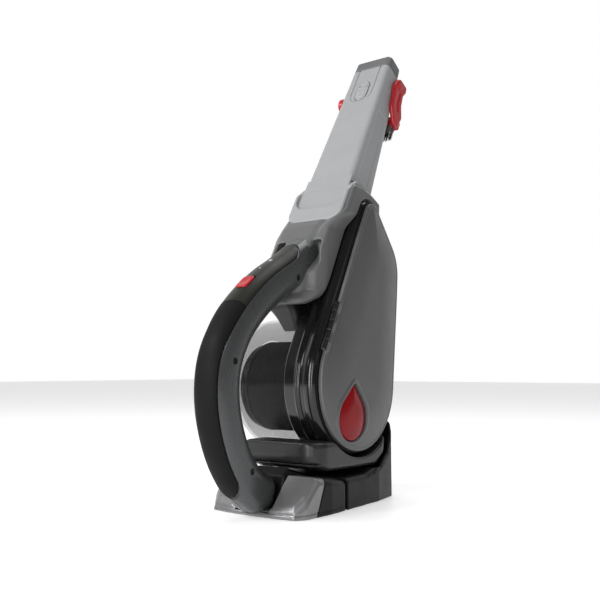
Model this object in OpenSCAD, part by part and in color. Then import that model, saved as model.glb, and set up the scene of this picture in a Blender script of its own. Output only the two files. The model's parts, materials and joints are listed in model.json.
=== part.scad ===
// Cordless handheld vacuum standing upright in its charging dock.
// Millimetres, +Z up. The origin is the centre of the dock's underside.
// The handle faces -Y, the dust bowl's door faces +X.

/* [Dust bowl] */
// Radius of the round lower end of the dust bowl
bowl_r = 57; // [56.5:0.1:57.5]
// Wall thickness of the clear bowl
bowl_wall = 2.2; // [1.8:0.1:2.6]
// Far end of the clear bowl, along X
bowl_x0 = -57; // [-58:0.5:-56]
// Bulge of the domed door above its edge
door_dome = 3.4; // [2.6:0.1:3.6]

/* [Nozzle] */
// Backward lean of the nozzle from the vertical
nozzle_tilt = 30; // [29.9:0.1:30.1]
// Half width of the nozzle at its root
nozzle_root_half = 24.6; // [24.4:0.1:24.8]
// Half width of the nozzle at its tip
nozzle_tip_half = 20.5; // [20.3:0.1:20.7]

/* [Handle] */
// Width of the handle
handle_w = 29; // [28.5:0.5:29.5]
// Depth of the handle, front to back
handle_depth = 32; // [31.5:0.5:32.5]

/* [Filter] */
// Outer radius of the mesh screen
screen_r = 40; // [39.5:0.1:40]
// Pleats in the cartridge
pleats = 30; // [20:2:36]

/* [Dock] */
// Thickness of the dock's walls
dock_wall = 2.5; // [2.2:0.1:2.8]

/* [Hidden] */
$fn = 96;

// Teardrop outline of the bowl: three circles in the YZ plane
low_c = [17.5, 100];
mid_c = [46.5, 199];
top_c = [41, 249.5];
mid_r = 38;
top_r = 9.5;
arc_step = 5;

// Layers of the body, along X
ring_x0 = 2;
ring_x1 = 33;
seal_x1 = 34.5;
door_x0 = 34.5;
door_edge_x = 38.6;
body_half = 33;
shell_t = 2.5;
ring_grow = 4;
ring_wall = 4;
plate_t = 3;
frame_grow = 4.6;
spine_grow = 6.5;

// Cyclone drum, motor and fan share one axis, parallel to X
drum_c = [16, 97];
pod_r = 38;
pod_x0 = bowl_x0 - 6;
screen_x0 = bowl_x0 + 2.4;
screen_x1 = -4;
motor_x0 = pod_x0 + 12;
motor_x1 = pod_x0 + 40;
mount_x0 = pod_x0 + 8;
fan_x0 = pod_x0 + 3.4;
fan_plate = 1.2;
fan_blade = 3;
screen_wall = 1.4;
filter_out_r = 35;
filter_in_r = 27;
motor_r = 17;
shaft_r = 1.6;

// Nozzle, measured along its own axis
tube_l0 = 257;
tube_l1 = 408;
tip_l1 = 420;
tongue_l0 = 224;
front_p = 118;
back_p0 = 80;
back_p1 = 95.4;
nozzle_wall = 2;
duct_half = 18;
duct_wall = 1.6;

// Brush hinge, in the nozzle's frame
brush_l = 399;
brush_p = 97;
brush_pin_r = 2;

// Handle centre line, a smooth curve through hand-placed points
handle_path = [[-20, 204], [-41, 191], [-62, 179], [-83, 164], [-103, 144], [-116, 121], [-120, 98],
               [-117, 74], [-108, 50], [-95, 31], [-80, 19], [-66, 14]];
handle_steps = 5;
strip_t = 3;
strip_half = 12.4;
handle_wall = 2.2;
tail_z = 8.5;
tail_y = -64;

// Along the handle, in steps of its curve: panel, button, lamps, rubber grip and cells
panel_i0 = 1;
grip_i0 = 18;
grip_i1 = 46;
button_i = 14;
button_r = 6;
button_gap = 0.4;
lens_i = [7, 10];
lens_r = 1.8;
cell_i = [20, 29, 38];
cell_r = 7;
cell_len = 44;

// Charging contacts: centre lines at x = +-contact_x
contact_x = 6;
contact_y = -72;
contact_r = 1.2;

// Nozzle latch, along the nozzle
latch_l0 = 361;
latch_l1 = 390;
latch_half = 8.5;

// Inlet flap: its pivot and reach
flap_c = [24.5, 150.4];
flap_len = 25;

// Dock
base_z = 0;
plate_top = 3.3;
dock_back_y = 78;
apron_back_y = -16;
recess_half = 17;
recess_z = 7;
inlet_x = 20;
inlet_z = 16;
inlet_r = 4;
inlet_bore = 2.8;

// Door hinge: parallel to the bowl's straight front edge
hinge_x = 37.5;
hinge_grow = 3.2;
hinge_pin_r = 1.1;
knuckle_r = 2.5;
hinge_len = 45;
hinge_leaves = 5;
leaf = hinge_len / hinge_leaves;
leaf_gap = 0.3;

// ---------- helpers ----------

// A shape drawn in (Y, Z), as a slab between two X values
module side(x0, x1) translate([x0, 0, 0]) rotate([90, 0, 90]) linear_extrude(x1 - x0) children();

// A disc or drum along X, centred on c = [y, z]
module drum(c, r, x0, x1) translate([x0, c.x, c.y]) rotate([0, 90, 0]) cylinder(r = r, h = x1 - x0);

// The nozzle's frame: X stays, Z runs along the nozzle, -Y is towards its front
module tilted() rotate([-nozzle_tilt, 0, 0]) children();

// A block in the nozzle's frame, from back depth p0 to front depth p1
module tilt_box(xh, p0, p1, l0, l1)
  translate([-xh, -p1, l0]) cube([2 * xh, p1 - p0, l1 - l0]);

// A shape drawn in (X, L), as a plate between depths p0 and p1
module tilt_plate(p0, p1) translate([0, -p0, 0]) rotate([90, 0, 0]) linear_extrude(p1 - p0) children();

// A shape drawn in (P, L), as a slab between two X values
module tilt_side(x0, x1)
  translate([x0, 0, 0]) rotate([90, 0, 90]) linear_extrude(x1 - x0) mirror([1, 0]) children();

// Outline around two circles, with their outer tangents
module belt(c1, r1, c2, r2) {
  d = norm(c2 - c1);
  e = (c2 - c1) / d;
  k = (r1 - r2) / d;
  s = sqrt(1 - k * k);
  right = e * k + [e.y, -e.x] * s;
  left = e * k + [-e.y, e.x] * s;
  translate(c1) circle(r = r1);
  translate(c2) circle(r = r2);
  polygon([c1 + r1 * right, c2 + r2 * right, c2 + r2 * left, c1 + r1 * left]);
}

// Direction, from a circle's centre, of its outer tangent point with the next circle
function tangent_angle(c1, r1, c2, r2, way) =
  let (d = norm(c2 - c1), e = (c2 - c1) / d, k = (r1 - r2) / d,
       n = e * k + way * [e.y, -e.x] * sqrt(1 - k * k)) atan2(n.y, n.x);
function arc(c, r, a0, a1) =
  let (turn = a1 < a0 ? a1 + 360 - a0 : a1 - a0, n = max(2, ceil(turn / arc_step)))
    [for (i = [0:n]) c + r * [cos(a0 + turn * i / n), sin(a0 + turn * i / n)]];

// The bowl's teardrop outline, grown outward by g
module teardrop(g) {
  r0 = bowl_r + g;
  r1 = mid_r + g;
  r2 = max(top_r + g, 1);
  low_right = tangent_angle(low_c, r0, mid_c, r1, 1);
  low_left = tangent_angle(low_c, r0, mid_c, r1, -1);
  top_right = tangent_angle(mid_c, r1, top_c, r2, 1);
  top_left = tangent_angle(mid_c, r1, top_c, r2, -1);
  polygon(concat(arc(low_c, r0, low_left, low_right), arc(mid_c, r1, low_right, top_right),
                 arc(top_c, r2, top_right, top_left), arc(mid_c, r1, top_left, low_left)));
}

// Points of a smooth curve through pts
function spline_point(p0, p1, p2, p3, t) =
  0.5 * (2 * p1 + (p2 - p0) * t + (2 * p0 - 5 * p1 + 4 * p2 - p3) * t * t
         + (3 * p1 - p0 - 3 * p2 + p3) * t * t * t);
function spline(pts, steps) = [
  for (i = [0:len(pts) - 2], j = [0:steps - 1])
    spline_point(pts[max(i - 1, 0)], pts[i], pts[i + 1], pts[min(i + 2, len(pts) - 1)], j / steps),
  pts[len(pts) - 1]];
function heading(pts, i) =
  let (d = pts[min(i + 1, len(pts) - 1)] - pts[max(i - 1, 0)]) d / norm(d);
// The curve moved sideways: positive is the handle's outer side
function shifted(pts, d) = [for (i = [0:len(pts) - 1])
  let (h = heading(pts, i)) pts[i] + d * [h.y, -h.x]];
function reversed(pts) = [for (i = [len(pts) - 1:-1:0]) pts[i]];
function part_of(pts, i0, i1) = [for (i = [i0:i1]) pts[i]];

handle_line = spline(handle_path, handle_steps);
handle_end = len(handle_line) - 1;

// A band along the handle from offset d0 (inner) to d1 (outer), between two curve indices
module band(d0, d1, i0 = 0, i1 = handle_end)
  let (pts = part_of(handle_line, i0, i1))
    polygon(concat(shifted(pts, d1), reversed(shifted(pts, d0))));

// ---------- body outlines, in (Y, Z) ----------

module neck_outline() {
  polygon([[25.3, 287.9], [65.2, 264.9], [62, 236], [60, 166], [-24, 165], [-58, 165], [-62, 172],
           [-58, 186], [-44, 200], [-24, 216], [-8, 236], [7, 252]]);
  intersection() {
    teardrop(spine_grow);
    translate([-60, 165]) square([160, 120]);
  }
}

module neck_inside() {
  polygon([[26, 284], [60, 264], [60, 240], [57, 168], [-24, 167.5], [-56, 167.5], [-59, 172],
           [-56, 184], [-42, 198], [-21, 214], [-5, 234], [10, 251]]);
  intersection() {
    teardrop(spine_grow - shell_t);
    translate([-60, 165 + shell_t]) square([160, 120]);
  }
}

module chin_outline() polygon([[-50, 55], [-50, 42], [-44, 34.5], [-30, 30.5], [40, 29], [56, 39], [64, 55]]);

module inlet_outline(t)
  polygon([[29.3 + t, 278.7 - t], [50.1 - t, 266.7 - t / 2], [38 - t, 236], [24 - t, 178], [24 - t, 138],
           [-4 + t, 138], [-4 + t, 200], [8 + t, 236]]);

// ---------- dock ----------

module dock_plan() {
  polygon([[-46, -70], [-40, -79], [-20, -83], [0, -84], [20, -83], [40, -79], [46, -70],
           [48, -40], [45, 36], [40, 66], [33, 75], [20, 78], [-20, 78], [-33, 75], [-40, 66], [-45, 36],
           [-48, -40]]);
}

module dock_prism(inset, z0, z1)
  translate([0, 0, z0]) linear_extrude(z1 - z0)
    scale([1 - inset / 47, 1 - inset / 80]) dock_plan();

module apron_outline(t)
  polygon([[-84 + 1.6 * t, base_z], [-82 + 1.6 * t, 3], [-57 + t / 2, 30 - t], [-30, 26 - t],
           [apron_back_y - t, 23 - t], [apron_back_y - t, base_z]]);

module dock_front_apron() color([0.42, 0.42, 0.43]) difference() {
  intersection() {
    side(-50, 50) apron_outline(0);
    dock_prism(0, 0, 90);
  }
  intersection() {
    side(-50, 50) apron_outline(dock_wall);
    dock_prism(dock_wall, -1, 90);
  }
  dock_prism(dock_wall, -1, plate_top);
  translate([-recess_half, -100, recess_z]) cube([2 * recess_half, 100, 60]);
  translate([-recess_half, -79.3, -1]) cube([2 * recess_half, 76, 60]);
}

module cradle_outline()
  polygon([[apron_back_y, base_z], [apron_back_y, 25], [16, 25], [29, 28], [43, 42], [55, 54], [68, 66],
           [74.5, 66], [74.5, 12], [dock_back_y, 8], [dock_back_y, base_z]]);

// Room for the vacuum's underside, open upward
module cradle_room() polygon([[-52, 90], [-52, 41], [-45, 33.8], [-30, 29.6], [40, 28.2], [57, 38.4],
                              [65, 55], [65, 90]]);

module dock_shell() color([0.13, 0.13, 0.135]) difference() {
  intersection() {
    side(-50, 50) cradle_outline();
    dock_prism(0, 0, 90);
  }
  intersection() {
    side(-50, 50) polygon([[apron_back_y + dock_wall, -1], [apron_back_y + dock_wall, 22.4], [16, 22.4],
                           [40, 25.4], [59, 35.6], [67.8, 52], [70, 57], [72, 57], [72, 9],
                           [75.5, 6], [75.5, -1]]);
    dock_prism(dock_wall, -1, 90);
  }
  dock_prism(dock_wall, -1, plate_top);
  side(-60, 60) cradle_room();
  drum(low_c, bowl_r + spine_grow + 0.7, -60, 60);
  translate([inlet_x, 60, inlet_z]) rotate([-90, 0, 0]) cylinder(r = inlet_r + 0.1, h = 30);
}

module dock_contact_block() color([0.1, 0.1, 0.1]) difference() {
  side(-recess_half + 0.3, recess_half - 0.3)
    polygon([[-79, base_z], [-79, recess_z - 0.5], [-62.5, recess_z - 0.5], [-60, 30], [-53, 35], [-45, 32],
             [-31, 28], [apron_back_y, 24.6], [apron_back_y, base_z]]);
  side(-recess_half + 2.5, recess_half - 2.5)
    polygon([[-59, -1], [-57, 28], [-52, 32], [-45, 29.4], [-31, 25.4], [-18.5, 22], [-18.5, -1]]);
  for (x = [-contact_x, contact_x]) translate([x, contact_y, 0]) cylinder(r = contact_r + 0.1, h = 20);
}

function dock_foot_spots() = [[-36, -60], [36, -60], [-31, 60], [31, 60]];

module dock_bottom_plate() color([0.1, 0.1, 0.1]) difference() {
  dock_prism(dock_wall + 0.3, base_z, plate_top - 0.3);
  translate([-recess_half, -100, -1]) cube([2 * recess_half, 100 + apron_back_y, 5]);
  for (p = dock_foot_spots()) translate([p.x, p.y, -1]) cylinder(r = 6, h = 2.5);
  for (p = dock_screw_spots()) translate([p.x, p.y, -1]) {
    cylinder(r = 3.1, h = 2.2);
    cylinder(r = 1.7, h = 9);
  }
}

module dock_rubber_feet() color([0.05, 0.05, 0.05])
  for (p = dock_foot_spots()) translate([p.x, p.y, 0]) cylinder(r = 6, h = 1.5);

function dock_screw_spots() = [[-36, -30], [36, -30], [-32, 30], [32, 30]];

module dock_screws() color([0.5, 0.5, 0.5])
  for (p = dock_screw_spots()) translate([p.x, p.y, 0]) {
    translate([0, 0, 0.2]) cylinder(r = 3, h = 1);
    translate([0, 0, 0.2]) cylinder(r = 1.6, h = 8);
  }

module dock_contact_pins() color("gold")
  for (x = [-contact_x, contact_x]) translate([x, contact_y, 3.2]) cylinder(r = contact_r, h = tail_z - 3.2);

module dock_circuit_board() color([0.1, 0.35, 0.15])
  translate([5, 25, 9]) cube([28, 30, 1.6]);

module dock_power_inlet() color([0.08, 0.08, 0.08]) difference() {
  translate([inlet_x, 62, inlet_z]) rotate([-90, 0, 0]) cylinder(r = inlet_r, h = 13);
  translate([inlet_x, 65, inlet_z]) rotate([-90, 0, 0]) cylinder(r = inlet_bore, h = 12);
}

// ---------- body ----------

module neck_plan() polygon([[-33, 110], [33, 110], [33, -2], [27, -14], [21, -24], [16, -33], [16, -46],
                            [-16, -46], [-16, -33], [-21, -24], [-27, -14], [-33, -2]]);

module neck_housing() color([0.3, 0.3, 0.305]) difference() {
  intersection() {
    side(-body_half, body_half) neck_outline();
    translate([0, 0, 100]) linear_extrude(300) neck_plan();
  }
  intersection() {
    side(-body_half + shell_t, body_half - shell_t) neck_inside();
    translate([0, 0, 100]) linear_extrude(300) scale([1 - shell_t / 33, 1 - shell_t / 46]) neck_plan();
  }
  side(ring_x0 - 0.4, body_half + 1) teardrop(frame_grow);
  drum(low_c, bowl_r + 0.4, bowl_x0, ring_x0);
  tilted() {
    tilt_box(29.2, 91.8, 140, 208.3, 300);
    tilt_box(40, 112, 140, 208.3, 300);
    tilt_box(25.4, 79, 140, 256, 300);
  }
  side(-handle_w / 2 - 0.1, handle_w / 2 + 0.1) handle_root();
  side(-duct_half - 0.3, 1.5) inlet_outline(-0.3);
}

// Where the handle plugs into the neck
module handle_root() band(-handle_depth / 2 - 0.1, handle_depth / 2 + 0.1, 0, 14);

module nozzle_collar() color([0.58, 0.58, 0.59]) difference() {
  tilted() collar_block();
  side(ring_x0 - 0.4, body_half + 1) teardrop(frame_grow);
}

module collar_block() difference() {
  intersection() {
    tilt_box(29, 92, 123, 208.5, 262);
    tilt_plate(60, 140) union() {
      translate([0, 232]) circle(r = 29);
      translate([-29, 232]) square([58, 40]);
    }
  }
  tilt_box(25.2, 60, 119.2, tongue_l0 - 1, 300);
  tilt_box(25.2, 118, 140, 245, 300);
  tilt_box(25, 60, 114.6, 200, 300);
  translate([0, -123, 236]) rotate([90, 0, 0]) cylinder(r = 21, h = 60, center = true);
  translate([-21, -140, 236]) cube([42, 22.4, 40]);
}

module nozzle_front_plan(l0, l1, inset) {
  slope = (nozzle_root_half - nozzle_tip_half) / (tip_l1 - tube_l0);
  h0 = nozzle_root_half - (l0 - tube_l0) * slope - inset;
  h1 = nozzle_root_half - (l1 - tube_l0) * slope - inset;
  polygon([[-h0, l0], [h0, l0], [h1, l1], [-h1, l1]]);
}

module nozzle_side_plan(l0, l1, inset) {
  slope = (back_p1 - back_p0) / (tip_l1 - tube_l0);
  b0 = back_p0 + (l0 - tube_l0) * slope + inset;
  b1 = back_p0 + (l1 - tube_l0) * slope + inset;
  polygon([[b0, l0], [front_p - inset, l0], [front_p - inset, l1], [b1, l1]]);
}

module nozzle_solid(l0, l1, inset) intersection() {
  tilt_plate(60, 140) nozzle_front_plan(l0, l1, inset);
  tilt_side(-40, 40) nozzle_side_plan(l0, l1, inset);
}

module nozzle_tube() color([0.56, 0.56, 0.57]) tilted() difference() {
  union() {
    nozzle_solid(tube_l0, tube_l1, 0);
    tilt_plate(front_p - 3, front_p) {
      nozzle_front_plan(tongue_l0 + 12, tube_l0 + 1, 0);
      belt([-12, tongue_l0 + 12.7], 12.4, [12, tongue_l0 + 12.7], 12.4);
    }
  }
  nozzle_solid(tube_l0 - 1, tube_l1 + 1, nozzle_wall);
  latch_pocket();
  drum_tilted(brush_l, brush_p, brush_pin_r + 0.08, -40, 40);
}

module drum_tilted(l, p, r, x0, x1) translate([x0, -p, l]) rotate([0, 90, 0]) cylinder(r = r, h = x1 - x0);

module nozzle_tip_cap() color([0.3, 0.3, 0.31]) tilted() difference() {
  nozzle_solid(tube_l1, tip_l1, 0);
  nozzle_solid(tube_l1 - 1, tip_l1 + 1, nozzle_wall + 0.6);
}

module latch_plan(grow) belt([0, latch_l0 + latch_half], latch_half + grow, [0, latch_l1 - latch_half],
                             latch_half + grow);

module latch_pocket() {
  tilt_plate(front_p - 1.2, front_p + 1) latch_plan(0.4);
  tilt_plate(front_p - 4, front_p + 1) latch_plan(-1.4);
}

module nozzle_latch() color([0.5, 0.5, 0.51]) tilted() {
  tilt_plate(front_p - 0, front_p + 1.6) latch_plan(-1.8);
  tilt_plate(front_p - 1.9, front_p + 0.1) latch_plan(-1.8);
}

module inner_duct() color([0.12, 0.12, 0.12]) {
  tilted() difference() {
    tilt_plate(90, 114) polygon([[-duct_half, 256], [1.2, 256], [duct_half, 290], [duct_half, 335],
                                 [-duct_half, 335]]);
    tilt_plate(90 + duct_wall, 114 - duct_wall)
      polygon([[-duct_half + duct_wall, 255], [1.2 - duct_wall, 255], [duct_half - duct_wall, 290.5],
               [duct_half - duct_wall, 336], [-duct_half + duct_wall, 336]]);
  }
}

module bowl_inlet() color([0.08, 0.08, 0.08]) difference() {
  side(-duct_half, 1.2) inlet_outline(0);
  side(-duct_half + duct_wall, 1.2 - duct_wall) inlet_room();
  drum(low_c, bowl_r + 0.3, -60, 60);
}

module inlet_room()
  polygon([[29.3 + 2.5, 279.5], [50.1 - 2, 270], [36.2, 236], [22.4, 178], [22.4, 130],
           [-2.4, 130], [-2.4, 200], [9.6, 236]]);

module bowl_back_plate() color([0.05, 0.05, 0.055]) side(ring_x0, ring_x0 + plate_t) difference() {
  teardrop(-0.3);
  translate(low_c) circle(r = bowl_r + 0.2);
}

module bowl_ring() color([0.05, 0.05, 0.055]) difference() {
  union() {
    side(ring_x0, ring_x1) difference() {
      teardrop(ring_grow);
      teardrop(ring_grow - ring_wall);
    }
    knuckles(1, ring_x1 - 1 - hinge_x, 0, -0.3, 1.4);
  }
  hinge_bore();
}

module dust_bowl() color([0.3, 0.3, 0.32, 0.45]) difference() {
  drum(low_c, bowl_r - 0.1, bowl_x0, ring_x0 + plate_t);
  drum(low_c, bowl_r - bowl_wall, bowl_x0 + bowl_wall, ring_x0 + plate_t + 1);
  drum(drum_c, pod_r + 0.1, bowl_x0 - 1, bowl_x0 + bowl_wall + 1);
  side(-duct_half + duct_wall, 1.2 - duct_wall) inlet_room();
}

module door_seal() color([0.03, 0.03, 0.03]) side(ring_x1, seal_x1) difference() {
  teardrop(1.6);
  teardrop(-1.6);
}

module lower_housing() color([0.2, 0.2, 0.205]) difference() {
  side(-34, 40) chin_outline();
  side(-31, 37) polygon([[-47, 51], [-47, 43], [-42, 37.2], [-29, 33.4], [39, 32], [53, 41], [60, 51]]);
  side(-60, 60) translate([-60, 50]) square([1, 1]);
  drum(low_c, bowl_r + frame_grow, -60, 60);
}

module back_spine() color([0.16, 0.16, 0.165]) side(-body_half, body_half) difference() {
  intersection() {
    teardrop(spine_grow);
    translate([40, 55.2]) square([80, 109.6]);
  }
  teardrop(frame_grow);
}

// ---------- handle ----------

// The whole handle's side profile, trimmed where its tail stands in the dock
module handle_profile(grow) intersection() {
  band(-handle_depth / 2 + grow, handle_depth / 2 - grow);
  union() {
    translate([-200, tail_z + grow]) square([200 + tail_y - grow, 300]);
    translate([-70, 60]) square([80, 200]);
  }
}

module handle_shell_solid() difference() {
  side(-handle_w / 2, handle_w / 2) handle_profile(0);
  side(-handle_w / 2 + handle_wall, handle_w / 2 - handle_wall) handle_profile(strip_t + 1.6);
  side(-strip_half - 0.1, strip_half + 0.1)
    band(handle_depth / 2 - strip_t, handle_depth / 2 + 1, 0, grip_i1);
  side(-40, 40) teardrop(frame_grow + 0.4);
  button_frame() translate([0, 0, -9]) cylinder(r = button_r + button_gap, h = 20);
  for (x = [-contact_x, contact_x])
    translate([x, contact_y, 0]) cylinder(r = contact_r + 0.08, h = tail_z + 4.7);
}

module handle_half(x0, x1) intersection() {
  handle_shell_solid();
  translate([x0, -200, 0]) cube([x1 - x0, 300, 300]);
}

module handle_left_shell() color([0.26, 0.26, 0.265]) handle_half(-30, 0);
module handle_right_shell() color([0.26, 0.26, 0.265]) difference() {
  handle_half(0, 30);
  for (p = handle_screw_spots()) translate([8, p.x, p.y]) rotate([0, 90, 0]) cylinder(r = 2.6, h = 20);
}

function handle_screw_spots() = [[-38, 187], [-116, 118], [-96, 36]];

module handle_screws() color([0.5, 0.5, 0.52]) for (p = handle_screw_spots())
  drum(p, 2.4, handle_w / 2 - handle_wall - 0.2, handle_w / 2 - 1);

module handle_front_panel() color([0.13, 0.13, 0.115]) difference() {
  side(-strip_half, strip_half) band(handle_depth / 2 - strip_t, handle_depth / 2, panel_i0, grip_i0);
  button_frame() cylinder(r = button_r + button_gap, h = 20, center = true);
  for (i = lens_i) on_handle(i) cylinder(r = lens_r + 0.2, h = 20, center = true);
}

module handle_rubber_grip() color([0.05, 0.05, 0.05])
  side(-strip_half, strip_half) band(handle_depth / 2 - strip_t, handle_depth / 2, grip_i0, grip_i1 - 1);

// A frame on the handle's outer surface at curve index i: Z points outward
module on_handle(i) {
  h = heading(handle_line, i);
  c = handle_line[i] + [h.y, -h.x] * handle_depth / 2;
  translate([0, c.x, c.y]) rotate([atan2(-h.y, -h.x), 0, 0]) children();
}
module button_frame() on_handle(button_i) children();

module power_button() color([0.75, 0.05, 0.06])
  button_frame() translate([0, 0, -4]) cylinder(r = button_r, h = 5.2);

module power_switch() color([0.1, 0.1, 0.1]) button_frame() translate([-4, -3, -12]) cube([8, 6, 5]);

module button_spring() color([0.6, 0.6, 0.6]) button_frame() difference() {
  translate([0, 0, -7]) cylinder(r = 4.4, h = 3);
  translate([0, 0, -8]) cylinder(r = 3.6, h = 5);
}

module indicator_lenses() color([0.7, 0.7, 0.65]) for (i = lens_i)
  on_handle(i) translate([0, 0, -3]) cylinder(r = lens_r, h = 3);

module battery_cells() color([0.2, 0.5, 0.3]) for (i = cell_i) {
  c = handle_line[i];
  h = heading(handle_line, i);
  translate([0, c.x, c.y]) rotate([atan2(h.y, h.x) - 90, 0, 0])
    cylinder(r = cell_r, h = cell_len, center = true);
}

module charge_contacts() color("gold")
  for (x = [-contact_x, contact_x]) translate([x, contact_y, tail_z]) cylinder(r = contact_r, h = 4.6);

// ---------- cyclone, filter and motor ----------

module filter_screen() color([0.3, 0.3, 0.3]) difference() {
  drum(drum_c, screen_r, screen_x0, screen_x1);
  drum(drum_c, screen_r - screen_wall, screen_x0 - 1, screen_x1 - 1.6);
}

module pleated_filter() color([0.9, 0.9, 0.86]) side(screen_x0 + 2, screen_x1 - 3) difference() {
  translate(drum_c) polygon([for (i = [0:2 * pleats - 1])
    (i % 2 == 0 ? filter_out_r : filter_in_r + 3) * [cos(i * 180 / pleats), sin(i * 180 / pleats)]]);
  translate(drum_c) circle(r = filter_in_r);
}

module filter_end_cap() color([0.2, 0.2, 0.2]) drum(drum_c, 36, screen_x1 - 3, screen_x1 - 1.6);

module motor_pod() color([0.15, 0.15, 0.155]) difference() {
  drum(drum_c, pod_r, pod_x0, screen_x0 - 0.4);
  drum(drum_c, pod_r - 2.4, pod_x0 + 2.4, screen_x0 - 3);
  drum(drum_c, motor_r + 1.5, pod_x0 + 3, 0);
  for (a = [0:30:330]) translate([pod_x0 - 1, drum_c.x, drum_c.y]) rotate([a, 0, 0])
    translate([0, -2, 22]) cube([5, 4, 11]);
}

module motor_can() color([0.6, 0.6, 0.62]) difference() {
  drum(drum_c, motor_r, motor_x0, motor_x1);
  drum(drum_c, shaft_r + 0.05, motor_x0 - 1, motor_x1 + 1);
}

module motor_mount() color([0.1, 0.1, 0.1]) difference() {
  drum(drum_c, 25, mount_x0, motor_x0);
  drum(drum_c, motor_r - 4, mount_x0 - 1, motor_x0 + 1);
}

module motor_shaft() color([0.75, 0.75, 0.75]) drum(drum_c, shaft_r, pod_x0 + 3, motor_x1 + 3);

module fan_impeller() color([0.15, 0.15, 0.15]) {
  difference() {
    union() {
      drum(drum_c, 16, fan_x0, fan_x0 + fan_plate);
      drum(drum_c, 4, fan_x0, fan_x0 + fan_plate + fan_blade);
      for (a = [0:45:315]) translate([fan_x0 + fan_plate / 2, drum_c.x, drum_c.y]) rotate([a, 0, 0])
        translate([0, -0.5, 3]) cube([fan_blade, 1, 12.2]);
    }
    drum(drum_c, shaft_r, pod_x0, 0);
  }
}

// ---------- door ----------

module on_hinge() {
  d = norm(mid_c - low_c);
  e = (mid_c - low_c) / d;
  k = (bowl_r - mid_r) / d;
  s = sqrt(1 - k * k);
  n = e * k + [-e.y, e.x] * s;
  p = low_c + (bowl_r + hinge_grow) * n;
  translate([hinge_x, p.x, p.y]) rotate([atan2(-n.y, -n.x), 0, 0]) children();
}

// The domed teardrop blank of the door
module door_blank() hull() {
  side(door_x0, door_edge_x) teardrop(0);
  side(door_x0, door_edge_x + 0.6 * door_dome) teardrop(-9);
  side(door_x0, door_edge_x + door_dome) teardrop(-26);
}

module bowl_door() color([0.36, 0.36, 0.365]) difference() {
  union() {
    door_blank();
    knuckles(0, door_x0 - hinge_x + 0.2, 0.8, 0, 4.4);
  }
  side(door_x0 - 1, door_x0 + 1.8) teardrop(-3);
  side(door_x0 - 1, 60) release_plan(0.5);
  hinge_bore();
}

module release_plan(grow) belt([2, 72.5], 19.5 + grow, [4, 97.5], 2 + grow);

module door_release() color([0.75, 0.05, 0.06]) {
  side(door_x0 + 0.2, 41.6) release_plan(0);
}

module hinge_pin() color([0.5, 0.5, 0.5]) on_hinge() cylinder(r = hinge_pin_r, h = hinge_len);

// Every second knuckle of the hinge, from leaf number first; arm reaches back to its own part
module knuckles(first, x0, x1, y0, y1) on_hinge() for (i = [first:2:hinge_leaves - 1])
  translate([0, 0, i * leaf + leaf_gap]) {
    cylinder(r = knuckle_r, h = leaf - 2 * leaf_gap);
    translate([x0, y0, 0]) cube([x1 - x0, y1 - y0, leaf - 2 * leaf_gap]);
  }
module hinge_bore() on_hinge() translate([0, 0, -1]) cylinder(r = hinge_pin_r + 0.06, h = hinge_len + 2);

module release_cup() color([0.12, 0.12, 0.12]) difference() {
  side(30, door_x0 + 1.8) release_plan(1.8);
  side(31.2, 60) release_plan(0.5);
}

module release_spring() color([0.6, 0.6, 0.6]) difference() {
  drum([2, 76], 7, 31.2, door_x0 + 0.2);
  drum([2, 76], 6, 31, 40);
}

module control_board() color([0.1, 0.35, 0.15]) on_handle(8) translate([-9, -14, -17]) cube([18, 28, 1.6]);

module exhaust_filter() color([0.75, 0.75, 0.7]) difference() {
  drum(drum_c, 35, pod_x0 + 2.6, pod_x0 + 5);
  drum(drum_c, 19, pod_x0, 0);
}

module inlet_flap() color([0.1, 0.1, 0.1]) {
  drum(flap_c, 1.3, -17.5, 0.7);
  translate([-17.5, flap_c.x, flap_c.y]) rotate([190, 0, 0])
    translate([0, 0, -0.6]) cube([18.2, flap_len, 1.2]);
}

// ---------- brush ----------

module brush_frame() color([0.75, 0.05, 0.06]) tilted() {
  for (m = [0, 1]) mirror([m, 0, 0]) difference() {
    translate([22.2, 0, 0]) rotate([90, 0, 90]) linear_extrude(3) mirror([1, 0]) union() {
      belt([brush_p, brush_l], 6, [86, 384], 7);
      belt([86, 384], 7, [84, 364], 8);
    }
    drum_tilted(brush_l, brush_p, brush_pin_r + 0.08, 0, 60);
  }
  tilt_box(25.2, 76.5, 88, 356, 366);
}

module brush_pins() color([0.4, 0.4, 0.4]) tilted() for (x = [-25, 18])
  drum_tilted(brush_l, brush_p, brush_pin_r, x, x + 7);

module brush_bristles() color([0.4, 0.4, 0.4]) tilted() for (x = [-20:4:20], p = [79.5, 84.5])
  translate([x, -p, 341]) cylinder(r = 1.7, h = 15);

dock_shell();
dock_front_apron();
dock_contact_block();
dock_bottom_plate();
dock_rubber_feet();
dock_screws();
dock_contact_pins();
dock_circuit_board();
dock_power_inlet();
neck_housing();
nozzle_collar();
inner_duct();
bowl_inlet();
inlet_flap();
bowl_ring();
bowl_back_plate();
dust_bowl();
door_seal();
lower_housing();
back_spine();
handle_left_shell();
handle_right_shell();
handle_screws();
handle_front_panel();
handle_rubber_grip();
power_button();
power_switch();
button_spring();
indicator_lenses();
control_board();
battery_cells();
charge_contacts();
filter_screen();
pleated_filter();
filter_end_cap();
motor_pod();
exhaust_filter();
motor_can();
motor_mount();
motor_shaft();
fan_impeller();
bowl_door();
door_release();
release_cup();
release_spring();
hinge_pin();
nozzle_tube();
nozzle_tip_cap();
nozzle_latch();
brush_frame();
brush_pins();
brush_bristles();
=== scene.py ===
# Cordless handheld vacuum in its charging dock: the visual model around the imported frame.
import json
import math
import random

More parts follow.
